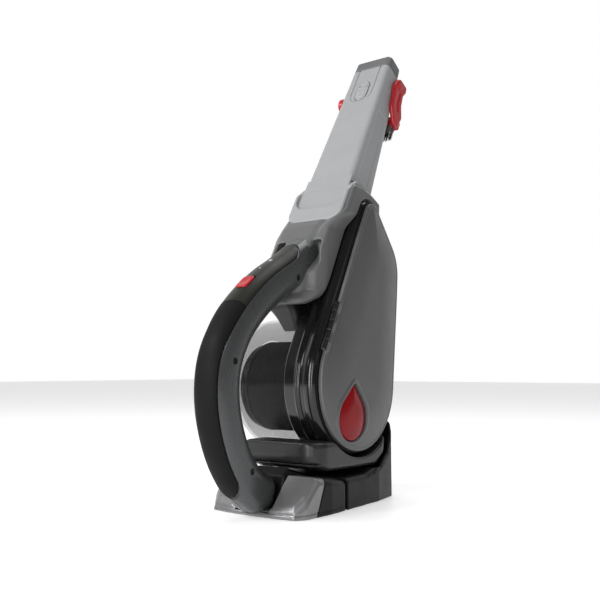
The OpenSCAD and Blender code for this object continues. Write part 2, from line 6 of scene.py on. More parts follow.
import bmesh
import bpy
import numpy as np
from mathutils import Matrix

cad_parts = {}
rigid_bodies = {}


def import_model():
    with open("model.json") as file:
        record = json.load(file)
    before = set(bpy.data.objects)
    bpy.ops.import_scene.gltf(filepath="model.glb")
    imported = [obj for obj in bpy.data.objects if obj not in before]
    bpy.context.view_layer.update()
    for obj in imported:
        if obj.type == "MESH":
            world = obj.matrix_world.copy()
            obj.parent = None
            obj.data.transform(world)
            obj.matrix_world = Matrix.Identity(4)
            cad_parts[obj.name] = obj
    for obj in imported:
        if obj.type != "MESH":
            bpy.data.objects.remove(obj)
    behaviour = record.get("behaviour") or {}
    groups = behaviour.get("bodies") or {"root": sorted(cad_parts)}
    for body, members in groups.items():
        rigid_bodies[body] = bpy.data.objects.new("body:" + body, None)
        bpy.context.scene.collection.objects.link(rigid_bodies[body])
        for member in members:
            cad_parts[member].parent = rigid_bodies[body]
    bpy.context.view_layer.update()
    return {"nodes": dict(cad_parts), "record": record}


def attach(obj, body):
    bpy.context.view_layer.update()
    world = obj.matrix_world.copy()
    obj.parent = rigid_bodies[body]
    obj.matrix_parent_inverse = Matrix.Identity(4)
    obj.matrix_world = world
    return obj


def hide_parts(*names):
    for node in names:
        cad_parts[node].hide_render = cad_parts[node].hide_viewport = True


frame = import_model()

import openvdb
from mathutils import Matrix, Vector

MM = 0.001

# ---------------------------------------------------------------- materials


def principled(name, colour, rough, metallic=0.0, coat=0.0, coat_rough=0.1, alpha=1.0, grain=0.03,
               grain_scale=1500.0, mottle=0.06, wear=0.0, specular=0.3, rough_range=0.07):
    """A moulded-surface material: mottled colour, worn edges, uneven gloss and a fine moulded grain."""
    m = bpy.data.materials.new(name)
    m.use_nodes = True
    nt = m.node_tree
    nt.nodes.clear()
    new = nt.nodes.new
    link = nt.links.new
    out = new("ShaderNodeOutputMaterial")
    b = new("ShaderNodeBsdfPrincipled")
    link(b.outputs[0], out.inputs[0])
    at = new("ShaderNodeTexCoord").outputs["Object"]

    def noise(scale, detail, roughness=0.55):
        n = new("ShaderNodeTexNoise")
        link(at, n.inputs["Vector"])
        n.inputs["Scale"].default_value = scale
        n.inputs["Detail"].default_value = detail
        n.inputs["Roughness"].default_value = roughness
        return n.outputs["Fac"]

    def ramp(value, lo, hi, to_lo, to_hi):
        r = new("ShaderNodeMapRange")
        link(value, r.inputs["Value"])
        for key, v in (("From Min", lo), ("From Max", hi), ("To Min", to_lo), ("To Max", to_hi)):
            r.inputs[key].default_value = v
        return r.outputs[0]

    def mix(fac, a, c):
        x = new("ShaderNodeMix")
        x.data_type = "RGBA"
        link(fac, x.inputs[0])
        for socket, v in ((x.inputs[6], a), (x.inputs[7], c)):
            if isinstance(v, tuple):
                socket.default_value = (*v, 1.0)
            else:
                link(v, socket)
        return x.outputs[2]

    dark = tuple(c * (1 - mottle) for c in colour)
    light = tuple(min(c * (1 + mottle), 1.0) for c in colour)
    tint = mix(ramp(noise(38.0, 4.0), 0.3, 0.7, 0.0, 1.0), dark, light)
    if wear:
        edge = new("ShaderNodeNewGeometry").outputs["Pointiness"]
        worn = tuple(min(c * 1.6 + 0.02, 1.0) for c in colour)
        tint = mix(ramp(edge, 0.53, 0.62, 0.0, wear), tint, worn)
    link(tint, b.inputs["Base Color"])
    link(ramp(noise(70.0, 5.0, 0.65), 0.25, 0.75, rough - rough_range, rough + rough_range),
         b.inputs["Roughness"])
    bump = new("ShaderNodeBump")
    bump.inputs["Strength"].default_value = 1.0
    bump.inputs["Distance"].default_value = grain * MM
    link(noise(grain_scale, 2.0), bump.inputs["Height"])
    link(bump.outputs[0], b.inputs["Normal"])
    b.inputs["Metallic"].default_value = metallic
    b.inputs["Coat Weight"].default_value = coat
    b.inputs["Coat Roughness"].default_value = coat_rough
    b.inputs["Alpha"].default_value = alpha
    b.inputs["Specular IOR Level"].default_value = specular
    b.inputs["IOR"].default_value = 1.5
    return m


MATS = {
    "dock_dark_plastic": principled("dock_dark", (0.008, 0.008, 0.0083), 0.42, specular=0.18, grain=0.05,
                                    grain_scale=1400),
    "dock_silver_plastic": principled("dock_silver", (0.22, 0.22, 0.225), 0.32, metallic=0.5, coat=0.25,
                                      coat_rough=0.2, grain=0.02, grain_scale=2200, mottle=0.03),
    "body_grey_plastic": principled("body_grey", (0.122, 0.123, 0.125), 0.33, grain=0.02, coat=0.12,
                                    coat_rough=0.25),
    "nozzle_grey_plastic": principled("nozzle_grey", (0.30, 0.306, 0.313), 0.42, grain=0.03, grain_scale=1300,
                                      mottle=0.025, wear=0.08),
    "black_plastic": principled("black_plastic", (0.006, 0.006, 0.0065), 0.4, grain=0.03),
    "bowl_dark_gloss": principled("ring_gloss", (0.006, 0.006, 0.0065), 0.2, grain=0.004, coat=0.5,
                                  coat_rough=0.08, rough_range=0.04, mottle=0.1),
    "bowl_clear": principled("bowl_clear", (0.02, 0.02, 0.021), 0.08, alpha=0.26, grain=0.004,
                             rough_range=0.03, specular=0.2),
    "black_rubber": principled("rubber", (0.0045, 0.0045, 0.0046), 0.62, grain=0.06, grain_scale=900,
                               specular=0.14),
    "handle_metallic_grey": principled("handle_metal", (0.085, 0.087, 0.089), 0.28, metallic=0.5,
                                       grain=0.0015,
                                       grain_scale=2600, mottle=0.02, rough_range=0.03),
    "panel_olive_black": principled("panel_olive", (0.016, 0.016, 0.0125), 0.4, specular=0.2, grain=0.02),
    "red_plastic": principled("red_plastic", (0.40, 0.010, 0.016), 0.36, grain=0.02, coat=0.2, mottle=0.05,
                              wear=0.05),
    "red_gloss": principled("red_gloss", (0.25, 0.004, 0.007), 0.2, grain=0.008, coat=0.14, coat_rough=0.06,
                            mottle=0.12, specular=0.1),
    "lens_white": principled("lens_white", (0.62, 0.62, 0.58), 0.25, coat=0.4, grain=0.005),
    "circuit_board": principled("board", (0.02, 0.09, 0.035), 0.4),
    "cell_wrap": principled("cell_wrap", (0.04, 0.16, 0.08), 0.35),
    "gold_contact": principled("gold", (0.8, 0.55, 0.2), 0.22, metallic=1.0, grain=0.01),
    "steel": principled("steel", (0.5, 0.5, 0.51), 0.28, metallic=1.0, grain=0.01, grain_scale=3000),
    "screen_mesh": principled("screen_mesh", (0.05, 0.05, 0.052), 0.36, metallic=0.4, grain=0.02),
    "filter_paper": principled("filter_paper", (0.75, 0.74, 0.68), 0.85, grain=0.15, grain_scale=700),
    "door_grey_metallic": principled("door_metal", (0.118, 0.119, 0.121), 0.36, metallic=0.3, grain=0.008,
                                     grain_scale=2600, mottle=0.03),
    "tip_dark_grey": principled("tip_grey", (0.12, 0.122, 0.125), 0.4, grain=0.03),
    "bristle": principled("bristle", (0.16, 0.16, 0.165), 0.5, grain=0.02),
    "bristle_tip": principled("bristle_tip", (0.012, 0.012, 0.012), 0.5, grain=0.02),
}

# ---------------------------------------------------------------- mesh helpers


def to_object(name, verts, faces, slot, body, smooth=True, normals=None, stands_for=(), material=None):
    """A piece from points in millimetres."""
    me = bpy.data.meshes.new(name)
    me.from_pydata([tuple(float(c) * MM for c in v) for v in verts], [],
                   [tuple(int(i) for i in f) for f in faces])
    me.validate()
    me.update()
    me.materials.append(MATS[material or slot])
    if smooth:
        me.polygons.foreach_set("use_smooth", [True] * len(me.polygons))
    if normals is not None and len(normals) == len(me.vertices):
        me.normals_split_custom_set_from_vertices([tuple(map(float, n)) for n in normals])
    o = bpy.data.objects.new(name, me)
    bpy.context.scene.collection.objects.link(o)
    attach(o, body)
    if stands_for:
        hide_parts(*stands_for)
    return o


def sharpen(o, angle=35.0, bevel=0.0, segments=2):
    """Fix the face winding, then round or mark its sharp edges."""
    bm = bmesh.new()
    bm.from_mesh(o.data)
    bmesh.ops.remove_doubles(bm, verts=bm.verts, dist=1e-6)
    bmesh.ops.recalc_face_normals(bm, faces=bm.faces)
    if bevel:
        hard = [e for e in bm.edges if len(e.link_faces) == 2 and e.calc_face_angle(0) > math.radians(angle)]
        if hard:
            bmesh.ops.bevel(bm, geom=hard, offset=bevel * MM, segments=segments, profile=0.6, affect="EDGES",
                            clamp_overlap=True)
    for e in bm.edges:
        e.smooth = len(e.link_faces) != 2 or e.calc_face_angle(0) < math.radians(angle)
    bm.to_mesh(o.data)
    bm.free()
    o.data.polygons.foreach_set("use_smooth", [True] * len(o.data.polygons))
    return o


def loft(rings, closed=True, caps=True):
    """Points and faces through a list of equal rings; closed joins each ring's last point to its first."""
    n = len(rings[0])
    verts = [p for r in rings for p in r]
    faces = []
    span = n if closed else n - 1
    for k in range(len(rings) - 1):
        for i in range(span):
            j = (i + 1) % n
            faces.append((k * n + i, k * n + j, (k + 1) * n + j, (k + 1) * n + i))
    if caps:
        faces.append(tuple(range(n - 1, -1, -1)))
        faces.append(tuple((len(rings) - 1) * n + i for i in range(n)))
    return verts, faces


def torus_loft(rings):
    """As loft, with the last ring joined to the first."""
    n, m = len(rings[0]), len(rings)
    verts = [p for r in rings for p in r]
    faces = [(k * n + i, k * n + (i + 1) % n, (k + 1) % m * n + (i + 1) % n, (k + 1) % m * n + i)
             for k in range(m) for i in range(n)]
    return verts, faces


def lathe(centre, profile, steps=128):
    """A closed profile of (x, radius) turned round an axis along X through centre = (y, z)."""
    rings = []
    for k in range(steps):
        a = 2 * math.pi * k / steps
        rings.append([(x, centre[0] + r * math.cos(a), centre[1] + r * math.sin(a)) for x, r in profile])
    return torus_loft(rings)


# ---------------------------------------------------------------- distance fields


class Field:
    """A box of sample points in millimetres, in the frame of the piece."""

    def __init__(self, lo, hi, step):
        step = step * 1.0
        self.lo, self.step = lo, step
        axes = [np.arange(a - 2 * step, b + 2.5 * step, step, dtype=np.float32) for a, b in zip(lo, hi)]
        self.origin = [float(a[0]) for a in axes]
        self.x = axes[0][:, None, None]
        self.y = axes[1][None, :, None]
        self.z = axes[2][None, None, :]
        self.shape = tuple(len(a) for a in axes)

    def mesh(self, d):
        """The zero surface of d as points, faces and smooth normals."""
        d = np.array(np.broadcast_to(d, self.shape), dtype=np.float32)
        for axis in range(3):
            edge = [slice(None)] * 3
            for side in (0, -1):
                edge[axis] = side
                d[tuple(edge)] = np.maximum(d[tuple(edge)], 0.2 * self.step)
        grid = openvdb.FloatGrid()
        grid.background = 3.0
        grid.copyFromArray(d)
        pts, tris, quads = grid.convertToPolygons(isovalue=0.0)
        pts = np.clip(pts, 0, np.array(self.shape) - 1.001)
        slopes = np.gradient(d)

        def sample(a, p):
            i = np.floor(p).astype(int)
            f = p - i
            out = 0
            for dx in (0, 1):
                for dy in (0, 1):
                    for dz in (0, 1):
                        w = (f[:, 0] if dx else 1 - f[:, 0]) * (f[:, 1] if dy else 1 - f[:, 1]) \
                            * (f[:, 2] if dz else 1 - f[:, 2])
                        out = out + w * a[i[:, 0] + dx, i[:, 1] + dy, i[:, 2] + dz]
            return out

        for _ in range(2):
            g = np.stack([sample(s, pts) for s in slopes], 1)
            size = np.maximum((g * g).sum(1), 0.05)[:, None]
            move = -g * (sample(d, pts)[:, None] / size)
            pts = np.clip(pts + np.clip(move, -0.5, 0.5), 0, np.array(self.shape) - 1.001)
        g = np.stack([sample(s, pts) for s in slopes], 1)
        normals = g / np.maximum(np.linalg.norm(g, axis=1), 1e-6)[:, None]
        faces = [tuple(f) for f in quads.tolist()] + [tuple(f) for f in tris.tolist()]
        return pts * self.step + np.array(self.origin), faces, normals


def polygon(points, u, v):
    """Signed distance to a polygon drawn in (u, v)."""
    best, sign = None, None
    for i in range(len(points)):
        (ax, ay), (bx, by) = points[i], points[i - 1]
        ex, ey = bx - ax, by - ay
        wx, wy = u - ax, v - ay
        t = np.clip((wx * ex + wy * ey) / (ex * ex + ey * ey), 0, 1)
        dd = (wx - ex * t) ** 2 + (wy - ey * t) ** 2
        best = dd if best is None else np.minimum(best, dd)
        c1, c2, c3 = v >= ay, v < by, ex * wy > ey * wx
        flip = (c1 & c2 & c3) | (~c1 & ~c2 & ~c3)
        sign = np.where(flip, -1.0, 1.0) if sign is None else np.where(flip, -sign, sign)
    return (sign * np.sqrt(best)).astype(np.float32)


def both(a, b, r=0.0):
    """Where both shapes are, with the edge between them rounded to radius r."""
    if not r:
        return np.maximum(a, b)
    return np.minimum(-r, np.maximum(a, b)) + np.sqrt(np.maximum(r + a, 0) ** 2 + np.maximum(r + b, 0) ** 2)


def join(a, b, r=0.0):
    """Either shape, with a fillet of radius r between them."""
    if not r:
        return np.minimum(a, b)
    return np.maximum(r, np.minimum(a, b)) - np.sqrt(np.maximum(r - a, 0) ** 2 + np.maximum(r - b, 0) ** 2)


def cut(a, b, r=0.0):
    """Shape a with shape b taken away."""
    return both(a, -b, r)


def slab(u, lo, hi):
    return np.maximum(lo - u, u - hi)


def disc(u, v, c, r):
    return np.sqrt((u - c[0]) ** 2 + (v - c[1]) ** 2) - r


def pill(u, v, a, b, r):
    """Distance to a thick line from a to b."""
    ex, ey = b[0] - a[0], b[1] - a[1]
    t = np.clip(((u - a[0]) * ex + (v - a[1]) * ey) / (ex * ex + ey * ey), 0, 1)
    return np.sqrt((u - a[0] - ex * t) ** 2 + (v - a[1] - ey * t) ** 2) - r


def smooth(u, lo, hi):
    t = np.clip((u - lo) / (hi - lo), 0, 1)
    return t * t * (3 - 2 * t)


# The bowl's teardrop outline: three circles in the (Y, Z) plane, as (y, z, radius)
DROP = ((17.5, 100.0, 57.0), (46.5, 199.0, 38.0), (41.0, 249.5, 9.5))
LOW = DROP[0]


def drop(y, z):
    """Signed distance to the teardrop outline."""
    out = None
    for a in np.radians(np.arange(0, 360, 1.5)):
        n = (math.cos(a), math.sin(a))
        reach = max(c[0] * n[0] + c[1] * n[1] + c[2] for c in DROP)
        d = y * n[0] + z * n[1] - reach
        out = d if out is None else np.maximum(out, d)
    return out


def drop_ring(step=2.0):
    """Samples round the outline: (centre y, centre z, radius, direction y, direction z)."""
    def tangent(c1, c2, way):
        dy, dz = c2[0] - c1[0], c2[1] - c1[1]
        d = math.hypot(dy, dz)
        k = (c1[2] - c2[2]) / d
        s = math.sqrt(1 - k * k)
        return math.atan2(dz / d * k - way * dy / d * s, dy / d * k + way * dz / d * s)

    low, mid, top = DROP
    angles = {"lm_r": tangent(low, mid, 1), "mt_r": tangent(mid, top, 1),
              "lm_l": tangent(low, mid, -1), "mt_l": tangent(mid, top, -1)}
    out = []

    def arc(c, a0, a1):
        turn = (a1 - a0) % (2 * math.pi)
        n = max(3, int(turn * c[2] / step))
        for i in range(n):
            a = a0 + turn * i / n
            out.append((c[0], c[1], c[2], math.cos(a), math.sin(a)))

    def straight(c1, c2, a):
        n = max(2, int(math.hypot(c2[0] - c1[0], c2[1] - c1[1]) / step))
        for i in range(n):
            t = i / n
            out.append(tuple(c1[k] + (c2[k] - c1[k]) * t for k in range(3)) + (math.cos(a), math.sin(a)))

    arc(low, angles["lm_l"], angles["lm_r"])
    straight(low, mid, angles["lm_r"])
    arc(mid, angles["lm_r"], angles["mt_r"])
    straight(mid, top, angles["mt_r"])
    arc(top, angles["mt_r"], angles["mt_l"])
    straight(top, mid, angles["mt_l"])
    arc(mid, angles["mt_l"], angles["lm_l"])
    straight(mid, low, angles["lm_l"])
    return out


def sweep_drop(profile, samples, closed=True):
    """A profile of (x, g) carried round outline samples."""
    rings = [[(x, s[0] + (s[2] + g) * s[3], s[1] + (s[2] + g) * s[4]) for x, g in profile] for s in samples]
    return torus_loft(rings) if closed else loft(rings)


RING = drop_ring(1.6)

# The nozzle's own frame: x, depth p towards its front, length l along it
TILT = math.radians(30)


def from_tilt(v):
    """Points (x, p, l) of the nozzle's frame as points of the row frame."""
    v = np.asarray(v, float)
    s, c = math.sin(TILT), math.cos(TILT)
    return np.stack([v[:, 0], v[:, 2] * s - v[:, 1] * c, v[:, 2] * c + v[:, 1] * s], 1)


def tilt_piece(name, f, d, slot, body, **more):
    pts, faces, normals = f.mesh(d)
    # the frame (x, p, l) is left-handed, so the faces turn over
    faces = [fa[::-1] for fa in faces]
    return to_object(name, from_tilt(pts), faces, slot, body, normals=from_tilt(normals), **more)


def field_piece(name, f, d, slot, body, **more):
    pts, faces, normals = f.mesh(d)
    return to_object(name, pts, faces, slot, body, normals=normals, **more)

# ---------------------------------------------------------------- nozzle

TUBE_L0, TUBE_L1, TIP_L1, FRONT_P = 257.0, 408.0, 420.0, 118.0


def nozzle_section(f, inset, radius):
    """Rounded box of the nozzle: it narrows towards the tip."""
    t = (f.z - TUBE_L0) / (TIP_L1 - TUBE_L0)
    half = 24.6 - 4.1 * t - inset
    back = 80.0 + 15.4 * t + inset
    front = FRONT_P - inset
    return both(np.abs(f.x) - half, slab(f.y, back, front), radius)


def nozzle():
    f = Field((-26, 78, 222), (26, 121, 410), 0.75)
    outer = both(nozzle_section(f, 0, 5.0), slab(f.z, TUBE_L0, TUBE_L1 - 0.25), 0.5)
    # the face runs on down into the collar as a rounded tongue
    tongue = both(both(both(np.abs(f.x) - 24.4, 225.6 - f.z, 10.5), f.z - 262),
                  slab(f.y, 115.2, FRONT_P), 1.0)
    d = join(outer, tongue)
    d = cut(d, both(nozzle_section(f, 2.2, 3.0), slab(f.z, TUBE_L0 - 9, TUBE_L1 + 9)))
    # a shallow flat along each side, as moulded
    t = (f.z - TUBE_L0) / (TIP_L1 - TUBE_L0)
    side = np.abs(f.x) - (24.6 - 4.1 * t) + 0.5
    d = np.maximum(d, -both(-side, both(slab(f.y, 92 + 8 * t, 110), slab(f.z, 268, 352)), 0.6))
    # the U-shaped groove round the latch, open at the tip
    u = np.abs(np.where(f.z > 373, np.abs(f.x) - 12.0, disc(f.x, f.z, (0, 373), 12.0)))
    d = cut(d, np.maximum(u - 0.5, FRONT_P - 1.2 - f.y))
    # the latch's well
    well = pill(f.x, f.z, (0, 369.5), (0, 381.5), 7.1)
    d = cut(d, np.maximum(well, FRONT_P - 2.4 - f.y))
    tilt_piece("nozzle_body", f, d, "nozzle_grey_plastic", "nozzle", stands_for=("nozzle_tube",))

    f = Field((-22, 93, 406), (22, 119, 421), 0.55)
    d = both(nozzle_section(f, 0, 5.0), slab(f.z, TUBE_L1 + 0.05, TIP_L1), 1.1)
    d = cut(d, both(nozzle_section(f, 2.8, 2.6), slab(f.z, 400, 430)), 0.6)
    tilt_piece("nozzle_tip", f, d, "tip_dark_grey", "nozzle", stands_for=("nozzle_tip_cap",))

    # the latch: a pad with a plain ring and three ridges, a generic mark
    f = Field((-8, 115.5, 360), (8, 120.5, 391), 0.45)
    pad = both(pill(f.x, f.z, (0, 369.5), (0, 381.5), 6.6), slab(f.y, 116.1, 118.6), 0.5)
    ring = both(np.abs(pill(f.x, f.z, (-1.6, 380.6), (1.6, 380.6), 3.1)) - 0.55, slab(f.y, 118, 119.5), 0.3)
    d = join(pad, ring, 0.3)
    for l, half in ((373.2, 4.2), (370.0, 3.6), (366.8, 2.6)):
        d = join(d, both(pill(f.x, f.z, (-half, l), (half, l), 0.6), slab(f.y, 118, 119.4), 0.3), 0.2)
    tilt_piece("latch_pad", f, d, "nozzle_grey_plastic", "latch", stands_for=("nozzle_latch",))


def collar():
    f = Field((-30, 91, 206), (30, 124, 263), 0.7)
    plan = both(np.maximum(np.abs(f.x) - 29.0, f.z - 262.0), 208.2 - f.z, 12.0)
    # the ears slope down towards the nozzle's sides
    top = 258.0 - 16.0 * smooth(f.y, 112, 123)
    d = both(both(plan, slab(f.y, 92, 121.6), 2.2), f.z - top, 3.0)
    channel = both(both(np.abs(f.x) - 25.3, 224.8 - f.z, 11.0), 118.15 - f.y, 1.2)
    d = cut(d, channel, 0.8)
    d = cut(d, both(np.abs(f.x) - 25.2, slab(f.y, 60, 114.8)))
    s, c = math.sin(TILT), math.cos(TILT)
    yy, zz = f.z * s - f.y * c, f.z * c + f.y * s
    d = cut(d, np.maximum(drop(yy[0, :, :], zz[0, :, :])[None] - 5.4, 1.6 - f.x))
    # its right side stays inside the neck's flank
    d = both(d, f.x - (25.0 + 8.0 * smooth(zz, 232, 250) - 1.5), 1.0)
    tilt_piece("collar_shield", f, d, "nozzle_grey_plastic", "vacuum", stands_for=("nozzle_collar",))


# ---------------------------------------------------------------- brush


def brush():
    arm = [(96, 405.5), (84.8, 405.8), (83.4, 400), (86.0, 392.7), (83.8, 381), (77.5, 370), (79.5, 357),
           (87.5, 355), (98.5, 368), (101.0, 383), (103.5, 392), (102, 401)]
    f = Field((-29, 75, 352), (27, 116.5, 408), 0.65)
    d = both(polygon(arm, f.y, f.z), slab(np.abs(f.x), 22.0, 26.0), 1.3)
    # a raised boss at the hinge and a pressed hollow below it
    d = join(d, both(disc(f.y, f.z, (97, 399), 4.6), slab(np.abs(f.x), 22.0, 26.9), 0.6), 0.8)
    d = cut(d, both(polygon([(90, 394), (97, 390), (96, 374), (89, 366), (85, 370), (89, 381)], f.y,
                            f.z) + 1.5,
                    25.3 - np.abs(f.x), 0.6), 0.4)
    # the left arm carries the thumb tab
    tab = both(pill(f.y, f.z, (97, 384), (107, 371), 8.0), slab(f.x, -28.6, -22.3), 1.6)
    d = join(d, tab, 1.0)
    bar = both(both(np.abs(f.x) - 24.5, slab(f.y, 75.6, 87.2)), slab(f.z, 356.2, 366.5), 1.6)
    d = join(d, bar, 1.0)
    tilt_piece("brush_arms", f, d, "red_plastic", "brush", stands_for=("brush_frame",))

    rnd = random.Random(7)
    verts, faces, tips, tip_faces = [], [], [], []
    for x0 in np.arange(-20.5, 21.0, 4.1):
        for p0 in (79.3, 84.0):
            for _ in range(26):
                a, r = rnd.uniform(0, 2 * math.pi), 1.55 * math.sqrt(rnd.random())
                bx, bp = x0 + r * math.cos(a), p0 + r * math.sin(a)
                length = rnd.uniform(14.0, 15.6)
                sx, sp = 0.35 * (bx - x0) + rnd.uniform(-0.3, 0.3), 0.35 * (bp - p0) + rnd.uniform(-0.3, 0.3)
                for lo, hi, vs, fs in ((0.0, 0.74, verts, faces), (0.74, 1.0, tips, tip_faces)):
                    base = len(vs)
                    for t in (lo, 0.5 * (lo + hi), hi):
                        w = 0.21 * (1 - 0.35 * t)
                        for q in range(5):
                            b = 2 * math.pi * q / 5
                            vs.append((bx + sx * t * t + w * math.cos(b), bp + sp * t * t + w * math.sin(b),
                                       356.4 - length * t))
                    for k in (0, 5):
                        for q in range(5):
                            fs.append((base + k + q, base + k + (q + 1) % 5, base + k + 5 + (q + 1) % 5,
                                       base + k + 5 + q))
                    fs.append(tuple(base + q for q in range(4, -1, -1)))
                    fs.append(tuple(base + 10 + q for q in range(5)))
    o = to_object("bristle_tufts", from_tilt(verts), faces, "bristle", "brush",
                  stands_for=("brush_bristles",))
    sharpen(o, 80)
    o = to_object("bristle_tips", from_tilt(tips), tip_faces, "bristle", "brush", material="bristle_tip")
    sharpen(o, 80)


# ---------------------------------------------------------------- neck

NECK_FRONT = [(25.3, 287.0), (64.5, 264.3), (62, 236), (60, 162), (-60, 162), (-60, 176), (-54, 188),
              (-42, 200.5),
              (-24, 216), (-8, 236), (7, 252)]


def neck():
    f = Field((-34, -44, 163), (34, 100, 288), 0.8)
    y2, z2 = f.y[0], f.z[0]
    outline = polygon(NECK_FRONT, y2, z2)
    g2 = drop(y2, z2)
    band = np.maximum(g2 - 7.0, 165.0 - z2)
    outline = join(outline, band, 3.0)[None]
    g = g2[None]
    grow = smooth(f.z, 232, 250)
    right = 25.0 + 8.0 * grow
    plan = polygon([(-31, 110), (-31, -14), (-27.5, -24), (-20, -33), (-9, -39.5), (3, -39), (13, -31.5),
                    (20, -22.5),
                    (25, -11), (25, 110)], f.x[:, :, 0], f.y[:, :, 0])[:, :, None]
    wide = polygon([(-31, 110), (-31, -20), (33, -20), (33, 110)], f.x[:, :, 0], f.y[:, :, 0])[:, :, None]
    plan = plan * (1 - grow) + wide * grow
    # the rim flares along the ring, round the corner and along the lip
    turn = np.sqrt((f.x - 5.0) ** 2 + (f.z - 185.0) ** 2)
    corner = np.maximum(np.maximum(5.0 - f.x, f.z - 185.0), 20.0 - turn)
    near = np.where((f.x > 5.0) & (f.z < 185.0), 20.0 - turn, np.minimum(right - f.x, f.z - 165.0))
    flare = 2.4 * np.clip(1 - near / 9.0, 0, 1) ** 1.6
    hollow = 1.5 * np.exp(-((near - 10.5) / 3.2) ** 2) * (1 - smooth(f.y, 0, 20))
    shape = both(outline, plan, 9.0) - flare + hollow
    shape = np.maximum(np.maximum(shape, plan - 1.2), 165.0 - f.z)
    shape = both(shape, f.x - right, 1.6)
    shape = both(shape, 165.2 - f.z, 1.4)
    shape = cut(shape, corner, 1.4)
    # the hood over the ring's top is lower than the middle
    hood = polygon([(-70, 240), (-12, 238), (2, 256), (10, 268), (21, 274), (34, 274), (50, 269),
                    (67, 262), (67, 160),
                    (-70, 160)], y2, z2)[None]
    shape = both(shape, hood - 15.0 * (1 - smooth(np.abs(f.x), 23, 32)), 3.0)
    # hollow inside, open below
    pocket = both(both(slab(np.abs(f.x), 13.2, 21.5), -15.0 - outline, 2.0),
                  both(slab(f.z, 177, 221), f.y + 8, 3.0), 2.0)
    core = both(outline + 3.0, plan + 3.0, 6.0)
    core = both(np.maximum(core, slab(f.z, 100, 240)), 2.6 - pocket)
    shape = cut(shape, core)
    # room for the bowl's ring, with the hood over its top
    shape = cut(shape, both(g - 5.0, 1.6 - f.x), 0.8)
    # seats of the collar and the nozzle
    s, c = math.sin(TILT), math.cos(TILT)
    l, p = f.y * s + f.z * c, f.z * s - f.y * c
    seat = both(both(np.abs(f.x) - 29.4, 207.8 - l, 12.0), slab(p, 91.6, 140))
    seat = np.maximum(seat, f.x - (right - 1.2))
    shape = cut(shape, seat, 0.5)
    shape = cut(shape, both(both(np.abs(f.x) - 25.6, 79.0 - p), 256.0 - l))
    # recess round the handle's root
    shape = cut(shape, pocket, 2.0)
    field_piece("neck_shell", f, shape, "body_grey_plastic", "vacuum", stands_for=("neck_housing",))


# ---------------------------------------------------------------- handle

PATH = [(-9, 210.5), (-20, 204), (-41, 191), (-62, 179), (-83, 164), (-103, 144), (-116, 121),
        (-120, 98), (-117, 74),
        (-108, 50), (-95, 31), (-80, 19), (-66, 14)]
STEPS = 8
HALF_W, HALF_D, ROUND = 14.5, 16.0, 2.7


def spline(pts, steps):
    out = []
    for i in range(len(pts) - 1):
        p0, p1, p2, p3 = (np.array(pts[min(max(k, 0), len(pts) - 1)], float) for k in (i - 1, i, i + 1,
                                                                                       i + 2))
        for j in range(steps):
            t = j / steps
            out.append(0.5 * (2 * p1 + (p2 - p0) * t + (2 * p0 - 5 * p1 + 4 * p2 - p3) * t * t
                              + (3 * p1 - p0 - 3 * p2 + p3) * t ** 3))
    out.append(np.array(pts[-1], float))
    return out


LINE = spline(PATH, STEPS)


def frame_at(i):
    """Centre and outward direction of the handle at curve index i, which may be a fraction."""
    i = min(max(i, 0), len(LINE) - 1)
    k = min(int(i), len(LINE) - 2)
    c = LINE[k] + (LINE[k + 1] - LINE[k]) * (i - k)
    a, b = LINE[max(k - 1, 0)], LINE[min(k + 2, len(LINE) - 1)]
    h = (b - a) / np.linalg.norm(b - a)
    return c, np.array([h[1], -h[0]])


def cad_index(i):
    """Curve index here of the CAD handle's curve index."""
    return STEPS + i * STEPS / 5.0


def face_depth(x, half_d=HALF_D):
    return half_d * (1 - min(abs(x) / HALF_W, 0.9999) ** ROUND) ** (1 / ROUND)


def strip_half(i):
    """Half width of the front panel and grip along the handle."""
    t = (i - cad_index(19)) / (cad_index(28) - cad_index(19))
    t = min(max(t, 0), 1)
    return 12.8 - 1.6 * t * t * (3 - 2 * t)


STRIP_FROM, STRIP_TO = cad_index(0.6), cad_index(46)
SEAM = cad_index(18)


def end_taper(i, lo, hi, span):
    """1 along a strip, falling to 0 in a round at each end."""
    t = min((i - lo) / span, (hi - i) / span, 1.0)
    return math.sqrt(max(1 - (1 - t) ** 2, 0.0)) if t > 0 else 0.0


